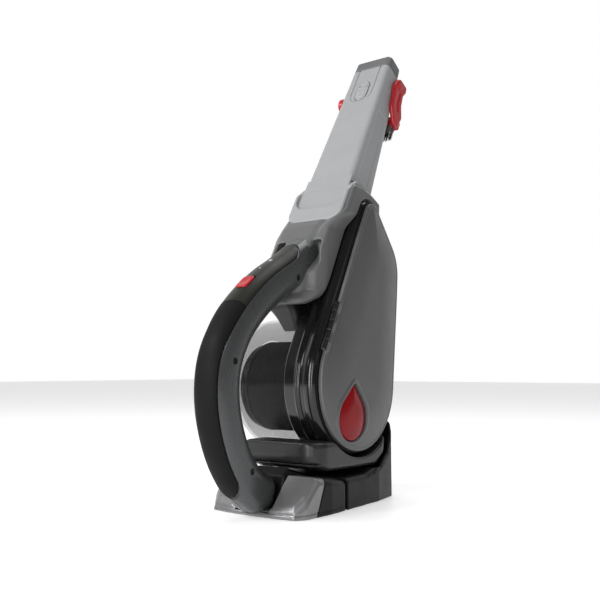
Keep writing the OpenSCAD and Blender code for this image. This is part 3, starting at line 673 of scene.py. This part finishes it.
def shell_half(side):
    """One side's handle shell, with the channel for the strip on its outer face."""
    rings = []
    last = len(LINE) - 1
    for q in range(0, 2 * last + 1):
        i = q / 2
        c, n = frame_at(i)
        w = strip_half(i) * end_taper(i, STRIP_FROM - 0.6, STRIP_TO + 0.6, 5.0)
        w = max(w, 0.0) + 0.35
        deep = 1.1 if w > 0.4 else 0.02
        size = 1.0
        tail = (i - (last - 5)) / 5
        if tail > 0:
            size = math.sqrt(max(1 - (0.86 * tail) ** 2.4, 0.05))
        pts = [(0.05, -HALF_D + 0.35), (0.45, -HALF_D + 0.02)]
        for k in range(1, 25):
            a = -math.pi / 2 + math.pi * k / 24 * 0.985
            x = HALF_W * abs(math.cos(a)) ** (2 / ROUND)
            if a > 0 and x <= w + 0.3:
                break
            d = HALF_D * math.copysign(abs(math.sin(a)) ** (2 / ROUND), math.sin(a))
            pts.append((x, d))
        while len(pts) < 26:
            x0 = pts[-1][0]
            x = x0 + (w + 0.3 - x0) * 0.5
            pts.append((x, face_depth(x)))
        pts = pts[:26]
        pts += [(w + 0.22, face_depth(w + 0.2) - 0.03), (w, face_depth(w) - 0.3),
                (w, face_depth(w) - deep - 0.2),
                (w * 0.5, face_depth(w * 0.5) - deep - 0.2), (0.05, HALF_D - deep - 0.2)]
        ring = []
        for x, d in pts:
            y, z = c + n * d * size
            ring.append((side * x * (0.3 + 0.7 * size if tail > 0 else 1), y, z))
        rings.append(ring)
    verts, faces = loft(rings)
    name = "handle_shell_left" if side < 0 else "handle_shell_right"
    node = "handle_left_shell" if side < 0 else "handle_right_shell"
    o = to_object(name, verts, faces, "handle_metallic_grey", "vacuum", stands_for=(node,))
    return sharpen(o, 40)


def strip(name, i0, i1, half, top, thick, slot, body, node, rounds=(5.0, 5.0), edge=0.35):
    """A soft-edged strip along the handle's outer face; half(i) is its half width."""
    rings = []
    count = int((i1 - i0) * 2.5) + 14
    for q in range(count + 1):
        u = q / count
        i = i0 + (i1 - i0) * (0.5 - 0.5 * math.cos(math.pi * u))
        c, n = frame_at(i)
        w = max(half(i) * end_taper(i, i0 if rounds[0] else i0 - 9, i1 if rounds[1] else i1 + 9,
                                    rounds[0] or rounds[1]), 0.06)
        e = min(edge, w * 0.4)
        cols = [w - e * 0.0, w - e * 0.3, w - e] + [(w - e) * t for t in (0.72, 0.4, 0.0)]
        lift = [-e, -e * 0.25, 0, 0, 0, 0]
        upper = [(x, face_depth(x) + top + a) for x, a in zip(cols, lift)]
        ring = upper + [(-x, d) for x, d in upper[-2::-1]]
        ring += [(-w * t, face_depth(w * t) + top - thick) for t in (1.0, 0.5, 0.0)]
        ring += [(w * t, face_depth(w * t) + top - thick) for t in (0.5, 1.0)]
        rings.append([(x, *(c + n * d)) for x, d in ring])
    verts, faces = loft(rings)
    o = to_object(name, verts, faces, slot, body, stands_for=(node,) if node else ())
    return sharpen(o, 50)


BUTTON_I = cad_index(14)
LENS_I = (cad_index(7), cad_index(10))


def handle_frame(i):
    """Matrix whose Z axis is the outward direction, Y runs up the handle, at the outer face."""
    c, n = frame_at(i)
    up = np.array([n[1], -n[0]])
    if up[1] < 0:
        up = -up
    m = Matrix(((1, 0, 0, 0), (0, up[0], n[0], c[0] + n[0] * HALF_D), (0, up[1], n[1], c[1] + n[1] * HALF_D),
                (0, 0, 0, 1)))
    return m


def local_field_piece(name, lo, hi, step, build, m, slot, body, **more):
    """A field piece built in a local frame and carried by matrix m; x, y, z stay right-handed or are turned."""
    f = Field(lo, hi, step)
    pts, faces, normals = f.mesh(build(f))
    r = np.array(m.to_3x3())
    if np.linalg.det(r) < 0:
        faces = [fa[::-1] for fa in faces]
    pts = pts @ r.T + np.array(m.translation)
    return to_object(name, pts, faces, slot, body, normals=normals @ r.T, **more)


def subtract(o, verts, faces):
    """Take a closed form, in millimetres, out of piece o."""
    me = bpy.data.meshes.new("cutter")
    me.from_pydata([tuple(float(c) * MM for c in v) for v in verts], [], faces)
    bm = bmesh.new()
    bm.from_mesh(me)
    bmesh.ops.recalc_face_normals(bm, faces=bm.faces)
    bm.to_mesh(me)
    bm.free()
    cutter = bpy.data.objects.new("cutter", me)
    bpy.context.scene.collection.objects.link(cutter)
    mod = o.modifiers.new("cut", "BOOLEAN")
    mod.operation = "DIFFERENCE"
    mod.solver = "EXACT"
    mod.object = cutter
    bpy.context.view_layer.update()
    depsgraph = bpy.context.evaluated_depsgraph_get()
    result = bpy.data.meshes.new_from_object(o.evaluated_get(depsgraph))
    o.modifiers.clear()
    mats = list(o.data.materials)
    o.data = result
    if not result.materials:
        for mat in mats:
            result.materials.append(mat)
    bpy.data.objects.remove(cutter)


def squircle(w, h, r, steps=8):
    """Points of a rounded rectangle of half sizes w and h."""
    out = []
    for k, (sx, sy) in enumerate(((1, 1), (-1, 1), (-1, -1), (1, -1))):
        for q in range(steps + 1):
            a = math.pi / 2 * (k + q / steps)
            out.append((sx * (w - r) + r * math.cos(a), sy * (h - r) + r * math.sin(a)))
    return out


def handle():
    for side in (-1, 1):
        shell_half(side)
    panel = strip("front_panel", STRIP_FROM, SEAM - 0.12, strip_half, 0.12, 1.2, "panel_olive_black",
                  "vacuum",
                  "handle_front_panel", rounds=(5.0, 0), edge=0.4)
    strip("rubber_grip", SEAM + 0.12, STRIP_TO, strip_half, 0.3, 1.4, "black_rubber", "vacuum",
          "handle_rubber_grip", rounds=(0, 5.0), edge=0.5)

    # the power button sits in a rounded-square hole, with a finger hollow above it
    m = handle_frame(BUTTON_I)
    hole = [(x, y + 0.8) for x, y in squircle(6.1, 8.3, 2.8)]
    ring = [[tuple(m @ Vector((x, y, z))) for x, y in hole] for z in (-7.5, 6.0)]
    subtract(panel, *loft(ring))
    for half in ("handle_shell_left", "handle_shell_right"):
        subtract(bpy.data.objects[half], *loft(ring))
    for cy, cz in ((-38, 187), (-116, 118), (-96, 36)):
        bore = [[(x, cy + 2.6 * math.cos(a), cz + 2.6 * math.sin(a)) for a in np.radians(np.arange(0,
                                                                                                   360, 15))]
                for x in (11.4, 20)]
        subtract(bpy.data.objects["handle_shell_right"], *loft(bore))
    # floors of the screw holes, round each screw's head
    for k, (cy, cz) in enumerate(((-38, 187), (-116, 118), (-96, 36))):
        cup = [(11.3, 2.55), (12.6, 2.55), (12.6, 2.42), (11.3, 2.42)]
        o = to_object(f"screw_cup_{k}", *lathe((cy, cz), cup, 32), "black_plastic", "vacuum")
        sharpen(o, 40)

    def button(f):
        d = both(np.abs(f.x) - 5.7, np.abs(f.y + 0.2) - 7.2, 2.5)
        d = both(d, np.maximum(f.z - 1.2 + 0.014 * f.x ** 2, -4.0 - f.z), 0.6)
        dish = np.sqrt(f.x ** 2 + f.y ** 2 + (f.z - 24.6) ** 2) - 24.0
        return cut(d, dish, 0.3)

    local_field_piece("power_button_cap", (-7, -8, -4.2), (7, 8, 1.8), 0.4, button, m, "red_plastic",
                      "button",
                      stands_for=("power_button",))
    # black sleeve round the hole's walls: painted shade of the hole and of the crescent hollow above the button
    outer, inner = squircle(6.08, 8.28, 2.8), squircle(5.85, 8.05, 2.7)
    rings = [[tuple(m @ Vector((x, y + 0.8, z))) for x, y in pts] for pts, z in
             ((outer, -4.6), (outer, -1.6), (inner, -1.6), (inner, -4.6))]
    o = to_object("button_well", *torus_loft(rings), "black_plastic", "vacuum")
    sharpen(o, 40)
    # two soft marks light up beside the button
    for k, i in enumerate(LENS_I):
        mm = handle_frame(i)

        def dot(f):
            ring_mark = np.abs(np.sqrt(f.x ** 2 + f.y ** 2) - 1.25) - 0.32
            bar = both(np.abs(f.x) - 0.3, np.abs(f.y) - 0.85)
            shape = (np.minimum(ring_mark, bar) if k == 0
                     else np.minimum(bar, both(np.abs(f.x) - 0.85, np.abs(f.y) - 0.3)))
            return both(shape, slab(f.z, -1.0, 0.34), 0.1)

        local_field_piece(f"indicator_{k}", (-2, -2, -1.0), (2, 2, 0.5), 0.16, dot, mm, "lens_white",
                          "vacuum",
                          **({"stands_for": ("indicator_lenses",)} if k == 0 else {}))


# ---------------------------------------------------------------- bowl, ring, door


def ring():
    profile = [(2.0, 0.0), (2.0, 2.2), (2.5, 2.9), (3.6, 3.2), (12.0, 3.3), (13.2, 3.5), (14.0, 4.2),
               (14.8, 4.2),
               (15.6, 3.4), (16.6, 2.6), (18.2, 2.2), (19.8, 2.4), (21.4, 3.0), (23.2, 3.8), (25.4, 4.4),
               (27.6, 4.4), (29.6, 3.8), (31.2, 2.8), (32.4, 1.6), (33.0, 0.7), (33.0, 0.0)]
    o = to_object("bowl_frame", *sweep_drop(profile, RING), "bowl_dark_gloss", "vacuum",
                  stands_for=("bowl_ring",))
    sharpen(o, 48)

    # wall across the frame above the round bowl
    f = Field((2, -42, 60), (5, 88, 262), 0.8)
    g = drop(f.y[0], f.z[0])[None]
    d = both(np.maximum(g + 0.3, 57.2 - disc(f.y, f.z, LOW, 0)), slab(f.x, 2.05, 5), 0.4)
    field_piece("bowl_back_wall", f, d, "bowl_dark_gloss", "vacuum", stands_for=("bowl_back_plate",))

    # the clear bowl, with a rounded end and a moulded foot ring
    profile = [(5.0, 54.8), (5.0, 56.9), (-51.5, 56.9), (-54.6, 56.2), (-56.4, 54.2), (-57.0, 51.4),
               (-57.0, 38.3),
               (-54.8, 38.3), (-54.8, 51.0), (-54.2, 53.2), (-52.0, 54.8)]
    o = to_object("clear_bowl", *lathe(LOW, profile), "bowl_clear", "vacuum", stands_for=("dust_bowl",))
    sharpen(o, 50)

    o = to_object("door_gasket",
                  *sweep_drop([(33.05, -1.6), (33.05, 1.4), (33.8, 1.7), (34.35, 1.3), (34.35, -1.4),
                               (33.7, -1.8)], RING),
                  "black_rubber", "vacuum", stands_for=("door_seal",))
    sharpen(o, 60)


RELEASE = ((2.0, 72.5, 19.5), (4.0, 97.5, 2.0))


def release_shape(y, z):
    """Signed distance to the button's teardrop."""
    out = None
    for a in np.radians(np.arange(0, 360, 3.0)):
        n = (math.cos(a), math.sin(a))
        reach = max(c[0] * n[0] + c[1] * n[1] + c[2] for c in RELEASE)
        d = y * n[0] + z * n[1] - reach
        out = d if out is None else np.maximum(out, d)
    return out


HINGE_N = (-0.89148, 0.45306)
HINGE_T = (0.45306, 0.89148)
HINGE_C = (17.5 + 60.2 * HINGE_N[0], 100 + 60.2 * HINGE_N[1])
HINGE_X, LEAF, GAP = 37.5, 9.0, 0.3


def knuckle(k, name, slot, body):
    """One leaf of the hinge, as a turned barrel with rounded ends."""
    profile = [(0.0, 1.16), (0.0, 2.1), (0.35, 2.45), (LEAF - 2 * GAP - 0.35, 2.45), (LEAF - 2 * GAP, 2.1),
               (LEAF - 2 * GAP, 1.16)]
    rings = []
    for q in range(32):
        a = 2 * math.pi * q / 32
        row = []
        for t, r in profile:
            s = k * LEAF + GAP + t
            dx, dn = r * math.cos(a), r * math.sin(a)
            row.append((HINGE_X + dx, HINGE_C[0] + HINGE_T[0] * s + HINGE_N[0] * dn,
                        HINGE_C[1] + HINGE_T[1] * s + HINGE_N[1] * dn))
        rings.append(row)
    o = to_object(name, *torus_loft(rings), slot, body)
    return sharpen(o, 40)


def door():
    f = Field((34.4, -41, 42), (43, 86, 260), 0.62)
    y2, z2 = f.y[0], f.z[0]
    g = drop(y2, z2)[None]
    rel = release_shape(y2, z2)[None]
    inward = np.clip(-g / 34.0, 0, 1)
    crown = 38.3 + 3.4 * (1 - (1 - inward) ** 2.0)
    d = both(both(g, (f.x - crown) * 0.98, 1.1), 34.55 - f.x, 0.3)
    # a shallow step runs round inside the edge
    d = cut(d, both(np.abs(g + 3.6) - 0.35, crown - 0.45 - f.x, 0.1), 0.15)
    # raised lip round the button, and the button's opening
    lip = both(np.abs(rel - 2.2) - 1.5, f.x - (crown + 0.75), 0.7)
    d = join(d, np.maximum(lip, 36.0 - f.x), 0.9)
    d = cut(d, np.maximum(rel - 0.5, 30 - f.x), 0.5)
    # hollow back
    d = cut(d, np.maximum(g + 3.0, f.x - 36.3))
    # arms out to its knuckles
    n2 = (f.y - HINGE_C[0]) * HINGE_N[0] + (f.z - HINGE_C[1]) * HINGE_N[1]
    t2 = (f.y - HINGE_C[0]) * HINGE_T[0] + (f.z - HINGE_C[1]) * HINGE_T[1]
    for k in (0, 2, 4):
        arm = both(both(slab(n2, -4.6, -1.3), slab(f.x, 35.0, 39.0)),
                   slab(t2, k * LEAF + GAP, (k + 1) * LEAF - GAP), 0.3)
        d = join(d, arm, 0.4)
    field_piece("door_panel", f, d, "door_grey_metallic", "door", stands_for=("bowl_door",))
    for k in range(5):
        if k % 2:
            knuckle(k, f"frame_knuckle_{k}", "bowl_dark_gloss", "vacuum")
        else:
            knuckle(k, f"door_knuckle_{k}", "bowl_dark_gloss", "door")

    f = Field((34.6, -19, 51), (42.2, 23, 101), 0.5)
    rel = release_shape(f.y[0], f.z[0])[None]
    crown = 40.2 + 1.5 * (1 - (1 - np.clip(-rel / 14.0, 0, 1)) ** 2)
    d = both(both(rel, f.x - crown, 0.9), 34.75 - f.x, 0.2)
    field_piece("release_button", f, d, "red_gloss", "release", stands_for=("door_release",))


def funnel():
    """Dark flared shroud that carries dust from the neck down to the bowl."""
    f = Field((-31, -34, 138), (2, 44, 167), 0.8)
    t = np.clip((165.5 - f.z) / 25.0, 0, 1)
    left = -30.5 + 14.0 * t ** 0.55
    front = -33.0 + 15.0 * t ** 0.6
    d = both(both(left - f.x, f.x - 1.3), both(front - f.y, f.y - 42.0), 6.0)
    d = both(d, slab(f.z, 138.5, 166.2))
    d = cut(d, disc(f.y, f.z, LOW, 57.3))
    d = np.maximum(d, f.x - 1.3)
    field_piece("inlet_funnel", f, d, "black_plastic", "vacuum", material="spine_satin")


def filter_parts():
    """The mesh screen round the cartridge, with real openings, and its black cap and collar."""
    cy, cz, r = 16.0, 97.0, 40.0
    # perforated cylinder
    bm = bmesh.new()
    around, along = ((220, 26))
    x0, x1 = -53.0, -5.0
    grid = []
    for i in range(around):
        row = []
        for j in range(along + 1):
            a = 2 * math.pi * (i + 0.5 * (j % 2)) / around
            x = x0 + (x1 - x0) * j / along
            row.append(bm.verts.new((x * MM, (cy + (r - 0.5) * math.cos(a)) * MM,
                                     (cz + (r - 0.5) * math.sin(a)) * MM)))
        grid.append(row)
    cells = []
    for i in range(around):
        for j in range(along):
            k = (i + 1) % around
            cells.append(bm.faces.new((grid[i][j], grid[k][j], grid[k][j + 1], grid[i][j + 1])))
    bmesh.ops.inset_individual(bm, faces=cells, thickness=0.30 * MM, use_even_offset=True)
    bmesh.ops.delete(bm, geom=cells, context="FACES")
    bmesh.ops.recalc_face_normals(bm, faces=bm.faces)
    me = bpy.data.meshes.new("screen_mesh")
    bm.to_mesh(me)
    bm.free()
    me.materials.append(MATS["screen_mesh"])
    o = bpy.data.objects.new("screen_mesh", me)
    bpy.context.scene.collection.objects.link(o)
    mod = o.modifiers.new("thick", "SOLIDIFY")
    mod.thickness = 0.5 * MM
    mod.offset = 0
    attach(o, "filter")
    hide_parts("filter_screen")

    def turned(name, profile, slot, **more):
        o = to_object(name, *lathe((cy, cz), profile), slot, "filter", **more)
        return sharpen(o, 35)

    # end rims of the screen, its front cap, and the ribs that back the mesh
    turned("screen_rim_front", [(-5.6, 37.6), (-5.6, 39.9), (-5.2, 40.0), (-4.0, 39.6), (-4.0, 0.4),
                                (-5.4, 0.4),
                                (-5.4, 37.2)], "black_plastic")
    turned("screen_rim_back", [(-54.6, 36.0), (-54.6, 39.4), (-54.0, 40.0), (-52.6, 40.0), (-52.4, 39.0),
                               (-52.4, 36.0)],
           "black_plastic")
    verts, faces = [], []
    for q in range(12):
        a = 2 * math.pi * q / 12
        base = len(verts)
        for x in (-53.0, -5.0):
            for dr, da in ((36.8, -0.016), (39.0, -0.016), (39.0, 0.016), (36.8, 0.016)):
                verts.append((x, cy + dr * math.cos(a + da), cz + dr * math.sin(a + da)))
        faces += [tuple(base + k for k in (0, 1, 2, 3)), tuple(base + k for k in (7, 6, 5, 4))]
        faces += [(base + k, base + 4 + k, base + 4 + (k + 1) % 4, base + (k + 1) % 4) for k in range(4)]
    sharpen(to_object("screen_ribs", verts, faces, "black_plastic", "filter"), 40)

    # dark sleeve behind the mesh: painted shade inside the drum, which also hides the paper
    turned("screen_liner", [(-52.4, 38.3), (-52.4, 38.8), (-5.6, 38.8), (-5.6, 38.3)], "black_plastic")

    # pleated paper
    rows = []
    for x in (-52.2, -7.4):
        rows.append([(x, cy + rr * math.cos(a), cz + rr * math.sin(a))
                     for k in range(180)
                     for a, rr in [(2 * math.pi * k / 180, 35.3 if k % 3 == 0 else 31.0)]])
    inner = [[(x, cy + 27 * math.cos(2 * math.pi * k / 180), cz + 27 * math.sin(2 * math.pi * k / 180))
              for k in range(180)] for x in (-7.4, -52.2)]
    verts, faces = torus_loft(rows + inner)
    sharpen(to_object("pleated_paper", verts, faces, "filter_paper", "filter",
                      stands_for=("pleated_filter",)), 25)


def pod():
    """The motor pod's outer cover with slotted vents."""
    f = Field((-63, -24, 57), (-54, 56, 137), 0.6)
    rad = disc(f.y, f.z, (16, 97), 0)
    d = both(rad - 37.9, slab(f.x, -63, -55), 2.2)
    d = cut(d, both(rad - 34.9, -60.6 - f.x, 0.5))
    for k in range(16):
        a = 2 * math.pi * k / 16
        dy, dz = math.cos(a), math.sin(a)
        rr = (f.y - 16) * dy + (f.z - 97) * dz
        tt = -(f.y - 16) * dz + (f.z - 97) * dy
        d = cut(d, both(pill(rr, tt, (20, 0), (32, 0), 1.7), f.x + 60.0), 0.4)
    d = cut(d, both(np.abs(rad - 14.5) - 0.6, f.x + 62.3), 0.2)
    field_piece("motor_cover", f, d, "black_plastic", "vacuum", stands_for=("motor_pod",))


# ---------------------------------------------------------------- lower body


def lower_body():
    f = Field((-34, -51, 28), (40, 65, 56), 0.75)
    y2, z2 = f.y[0], f.z[0]
    outline = polygon([(-50, 54.5), (-50, 43), (-45, 35.5), (-30, 31), (40, 29.4), (55, 38.6), (63, 54.5)],
                      y2, z2)[None]
    plan = both(both(slab(f.x, -60, 40), slab(f.y, -50.3, 66), 17.0), -34 - f.x, 4.0)
    d = both(outline, plan, 4.5)
    # a groove and a small lip along the front
    d = cut(d, both(np.abs(f.z - 38.2 - 0.02 * f.y) - 0.6, np.maximum(f.y + 40.5, -f.y - 60), 0.2), 0.3)
    d = cut(d, both(both(np.abs(f.x - 8) - 15, np.abs(f.z - 33.8) - 1.3), f.y + 38.5, 0.6), 0.5)
    rad = disc(f.y, f.z, LOW, 0)
    d = cut(d, rad - 61.6, 1.2)
    field_piece("chin_bar", f, d, "body_grey_plastic", "vacuum", stands_for=("lower_housing",),
                material="dock_chin")

    part = [s for s in RING if s[0] + s[2] * s[3] > 38 and 54 < s[1] + s[2] * s[4] < 166 and s[3] > 0]
    profile = [(-33, 4.6), (-33, 5.9), (-32.4, 6.5), (-18, 6.5), (-17.6, 6.0), (-16.8, 6.0),
               (-16.4, 6.5), (16.4, 6.5),
               (16.8, 6.0), (17.6, 6.0), (18, 6.5), (32.2, 6.5), (33, 5.9), (33, 4.6)]
    o = to_object("spine_cover", *sweep_drop(profile, part, closed=False), "black_plastic", "vacuum",
                  stands_for=("back_spine",), material="spine_satin")
    sharpen(o, 40)


# ---------------------------------------------------------------- dock

DOCK_PLAN = [(-46, -70), (-40, -79), (-20, -83), (0, -84), (20, -83), (40, -79), (46, -70), (48, -40),
             (45, 36),
             (40, 66), (33, 75), (20, 78), (-20, 78), (-33, 75), (-40, 66), (-45, 36), (-48, -40)]


def dock():
    # front apron: bright, with rounded shoulders and a groove above the base
    f = Field((-48.5, -84.5, 0), (48.5, -15, 33), 0.75)
    plan = polygon(DOCK_PLAN, f.x[:, :, 0], f.y[:, :, 0])[:, :, None]
    profile = polygon([(-84, -8), (-83, 2.5), (-57, 29.5), (-44, 28.2), (-30, 26), (-16.1, 23), (-16.1, -8)],
                      f.y[0], f.z[0])[None]
    body = both(plan, profile, 6.0)
    d = np.maximum(body, -f.z)
    d = both(d, f.y + 16.15)
    # fine groove above the base
    d = cut(d, both(np.abs(f.z - 3.6) - 0.35, np.maximum(-body - 0.8, f.y + 20), 0.1), 0.1)
    # recess for the handle's tail, narrowing towards the back
    half = 17.0 + 1.5 * smooth(-f.y, 60, 84)
    d = cut(d, both(both(np.abs(f.x) - half, 6.9 - f.z), f.y + 14, 0), 2.0)
    d = cut(d, np.maximum(np.abs(f.x) - 16.9, slab(f.y, -79.3, -3)) + 0 * f.z)
    # bright face and dark flanks meet along a slanting line
    line = f.y + 48.0 + 0.4 * (26.0 - f.z)
    field_piece("apron_face", f, both(d, line + 0.12, 0.3), "dock_silver_plastic", "dock",
                stands_for=("dock_front_apron",))
    field_piece("apron_flanks", f, both(d, 0.12 - line, 0.3), "dock_dark_plastic", "dock")

    # hump behind the recess, which carries the contacts
    f = Field((-17, -80, 0), (17, -15.5, 36), 0.65)
    profile = polygon([(-79, -6), (-79, 6.4), (-63.5, 6.4), (-60, 29), (-53, 34.6), (-45, 32), (-31, 28),
                       (-16.1, 24.5),
                       (-16.1, -6)], f.y[0], f.z[0])[None]
    d = both(profile, np.abs(f.x) - 16.6, 2.6)
    d = np.maximum(np.maximum(d, -f.z), f.y + 16.1)
    inner = polygon([(-76.5, -6), (-76.5, 4.0), (-61, 4.0), (-57, 27.5), (-52, 31.6), (-45, 29.2), (-31,
                                                                                                    25.2),
                     (-18.5, 22), (-18.5, -6)], f.y[0], f.z[0])[None]
    d = cut(d, np.maximum(inner, np.abs(f.x) - 14))
    for x in (-6, 6):
        d = cut(d, np.maximum(disc(f.x, f.y, (x, -72), 1.35), -1 - f.z))
    field_piece("contact_hump", f, d, "dock_dark_plastic", "dock", stands_for=("dock_contact_block",))

    # rear cradle
    f = Field((-48.5, -16.5, 0), (48.5, 79, 67), 0.9)
    plan = polygon(DOCK_PLAN, f.x[:, :, 0], f.y[:, :, 0])[:, :, None]
    profile = polygon([(-40, -8), (-40, 25), (16, 25), (29, 28), (43, 42), (55, 54), (68, 66), (74.5, 66),
                       (74.5, 14), (77.5, 9), (78, -8)], f.y[0], f.z[0])[None]
    body = both(plan, profile, 4.0)
    d = np.maximum(np.maximum(body, -f.z), -15.95 - f.y)
    room = polygon([(-52, 90), (-52, 41), (-45, 33.8), (-30, 29.6), (40, 28.2), (57, 38.4), (65, 55),
                    (65, 90)],
                   f.y[0], f.z[0])[None]
    d = cut(d, np.minimum(room, disc(f.y, f.z, LOW, 64.3)), 1.2)
    # arc seam on each side
    arc = np.abs(disc(f.y, f.z, (20, 86), 62.0)) - 0.35
    d = cut(d, np.maximum(np.maximum(arc, plan * -1 - 0.8), slab(f.z, 14, 60)), 0.1)
    d = cut(d, np.maximum(np.maximum(plan + 2.6, profile + 2.6), -5 - f.z))
    # charger socket
    d = cut(d, np.maximum(disc(f.x, f.z, (20, 16), 4.15), 60 - f.y), 0.4)
    field_piece("cradle_shell", f, d, "dock_dark_plastic", "dock", stands_for=("dock_shell",))


# ---------------------------------------------------------------- small parts that the CAD already shapes well

MATS["dock_chin"] = principled("chin_satin", (0.022, 0.022, 0.023), 0.3, grain=0.015, coat=0.15,
                               coat_rough=0.2)
MATS["spine_satin"] = principled("spine_satin", (0.012, 0.012, 0.0125), 0.3, grain=0.015, coat=0.2,
                                 coat_rough=0.2)


# dark steel for the handle's screws: painted shade of the deep holes they sit in
MATS["screw_hole_shade"] = principled("screw_hole_shade", (0.02, 0.02, 0.02), 0.35, metallic=0.8, grain=0.01)


def keep_cad():
    """Every CAD part that stays visible gets its finish; the handle's screws get a dark one, painted shade of
    their holes.
    """
    slots = {s["node"]: s["material_slot"] for s in frame["record"]["subparts"]}
    for name, o in frame["nodes"].items():
        if o.hide_render:
            continue
        o.data.materials.clear()
        o.data.materials.append(MATS["screw_hole_shade" if name == "handle_screws" else slots[name]])


nozzle()
collar()
brush()
neck()
handle()
ring()
door()
funnel()
filter_parts()
pod()
lower_body()
dock()
keep_cad()

# ---------------------------------------------------------------- camera, light, floor


def area(name, where, target, size, energy, size_y=None, colour=(1, 1, 1)):
    light = bpy.data.lights.new(name, "AREA")
    light.shape = "RECTANGLE" if size_y else "SQUARE"
    light.size = size
    if size_y:
        light.size_y = size_y
    light.energy = energy
    light.color = colour
    o = bpy.data.objects.new(name, light)
    o.location = where
    o.rotation_euler = (Vector(target) - Vector(where)).to_track_quat("-Z", "Y").to_euler()
    bpy.context.scene.collection.objects.link(o)


def studio():
    scene = bpy.context.scene
    cam = bpy.data.cameras.new("camera")
    cam.lens = 46.8
    cam.sensor_width = 36
    o = bpy.data.objects.new("camera", cam)
    azimuth, pitch = math.radians(36.5), math.radians(5.09)
    look = Vector((-math.sin(azimuth) * math.cos(pitch), math.cos(azimuth) * math.cos(pitch),
                   math.sin(pitch)))
    o.location = (0.3938, -0.5491, 0.1118)
    o.rotation_euler = look.to_track_quat("-Z", "Y").to_euler()
    scene.collection.objects.link(o)
    scene.camera = o

    me = bpy.data.meshes.new("floor")
    me.from_pydata([(-6, -6, 0), (6, -6, 0), (6, 6, 0), (-6, 6, 0)], [], [(0, 1, 2, 3)])
    me.materials.append(principled("floor_pale", (0.86, 0.86, 0.86), 0.45, grain=0.0, mottle=0.01,
                                   specular=0.3))
    shader = me.materials[0].node_tree.nodes["Principled BSDF"]
    shader.inputs["Emission Color"].default_value = (1, 1, 1, 1)
    shader.inputs["Emission Strength"].default_value = 0.35
    floor = bpy.data.objects.new("floor", me)
    scene.collection.objects.link(floor)

    world = bpy.data.worlds.new("studio")
    world.use_nodes = True
    scene.world = world
    nt = world.node_tree
    bg = nt.nodes["Background"]
    tc = nt.nodes.new("ShaderNodeTexCoord")
    dot = nt.nodes.new("ShaderNodeVectorMath")
    dot.operation = "DOT_PRODUCT"
    nt.links.new(tc.outputs["Generated"], dot.inputs[0])
    dot.inputs[1].default_value = (-0.59, 0.80, 0.0)
    rng = nt.nodes.new("ShaderNodeMapRange")
    rng.interpolation_type = "SMOOTHSTEP"
    nt.links.new(dot.outputs["Value"], rng.inputs["Value"])
    for key, v in (("From Min", 0.15), ("From Max", 0.7), ("To Min", 0.12), ("To Max", 1.0)):
        rng.inputs[key].default_value = v
    bg.inputs["Color"].default_value = (1, 1, 1, 1)
    nt.links.new(rng.outputs[0], bg.inputs["Strength"])
    area("key", (-0.75, -1.25, 1.15), (0, 0, 0.22), 0.7, 20)
    area("strip", (0.0, -1.4, 0.4), (0, 0, 0.18), 0.2, 8.0, 0.9)
    area("strip_right", (0.68, -1.3, 0.4), (0, 0, 0.18), 0.14, 4.0, 0.9)
    area("fill", (1.3, -0.3, 0.9), (0, 0, 0.2), 0.7, 0.8)
    area("top", (0.1, 0.5, 1.5), (0, 0, 0.15), 0.9, 8)
    scene.view_settings.view_transform = "Standard"


studio()
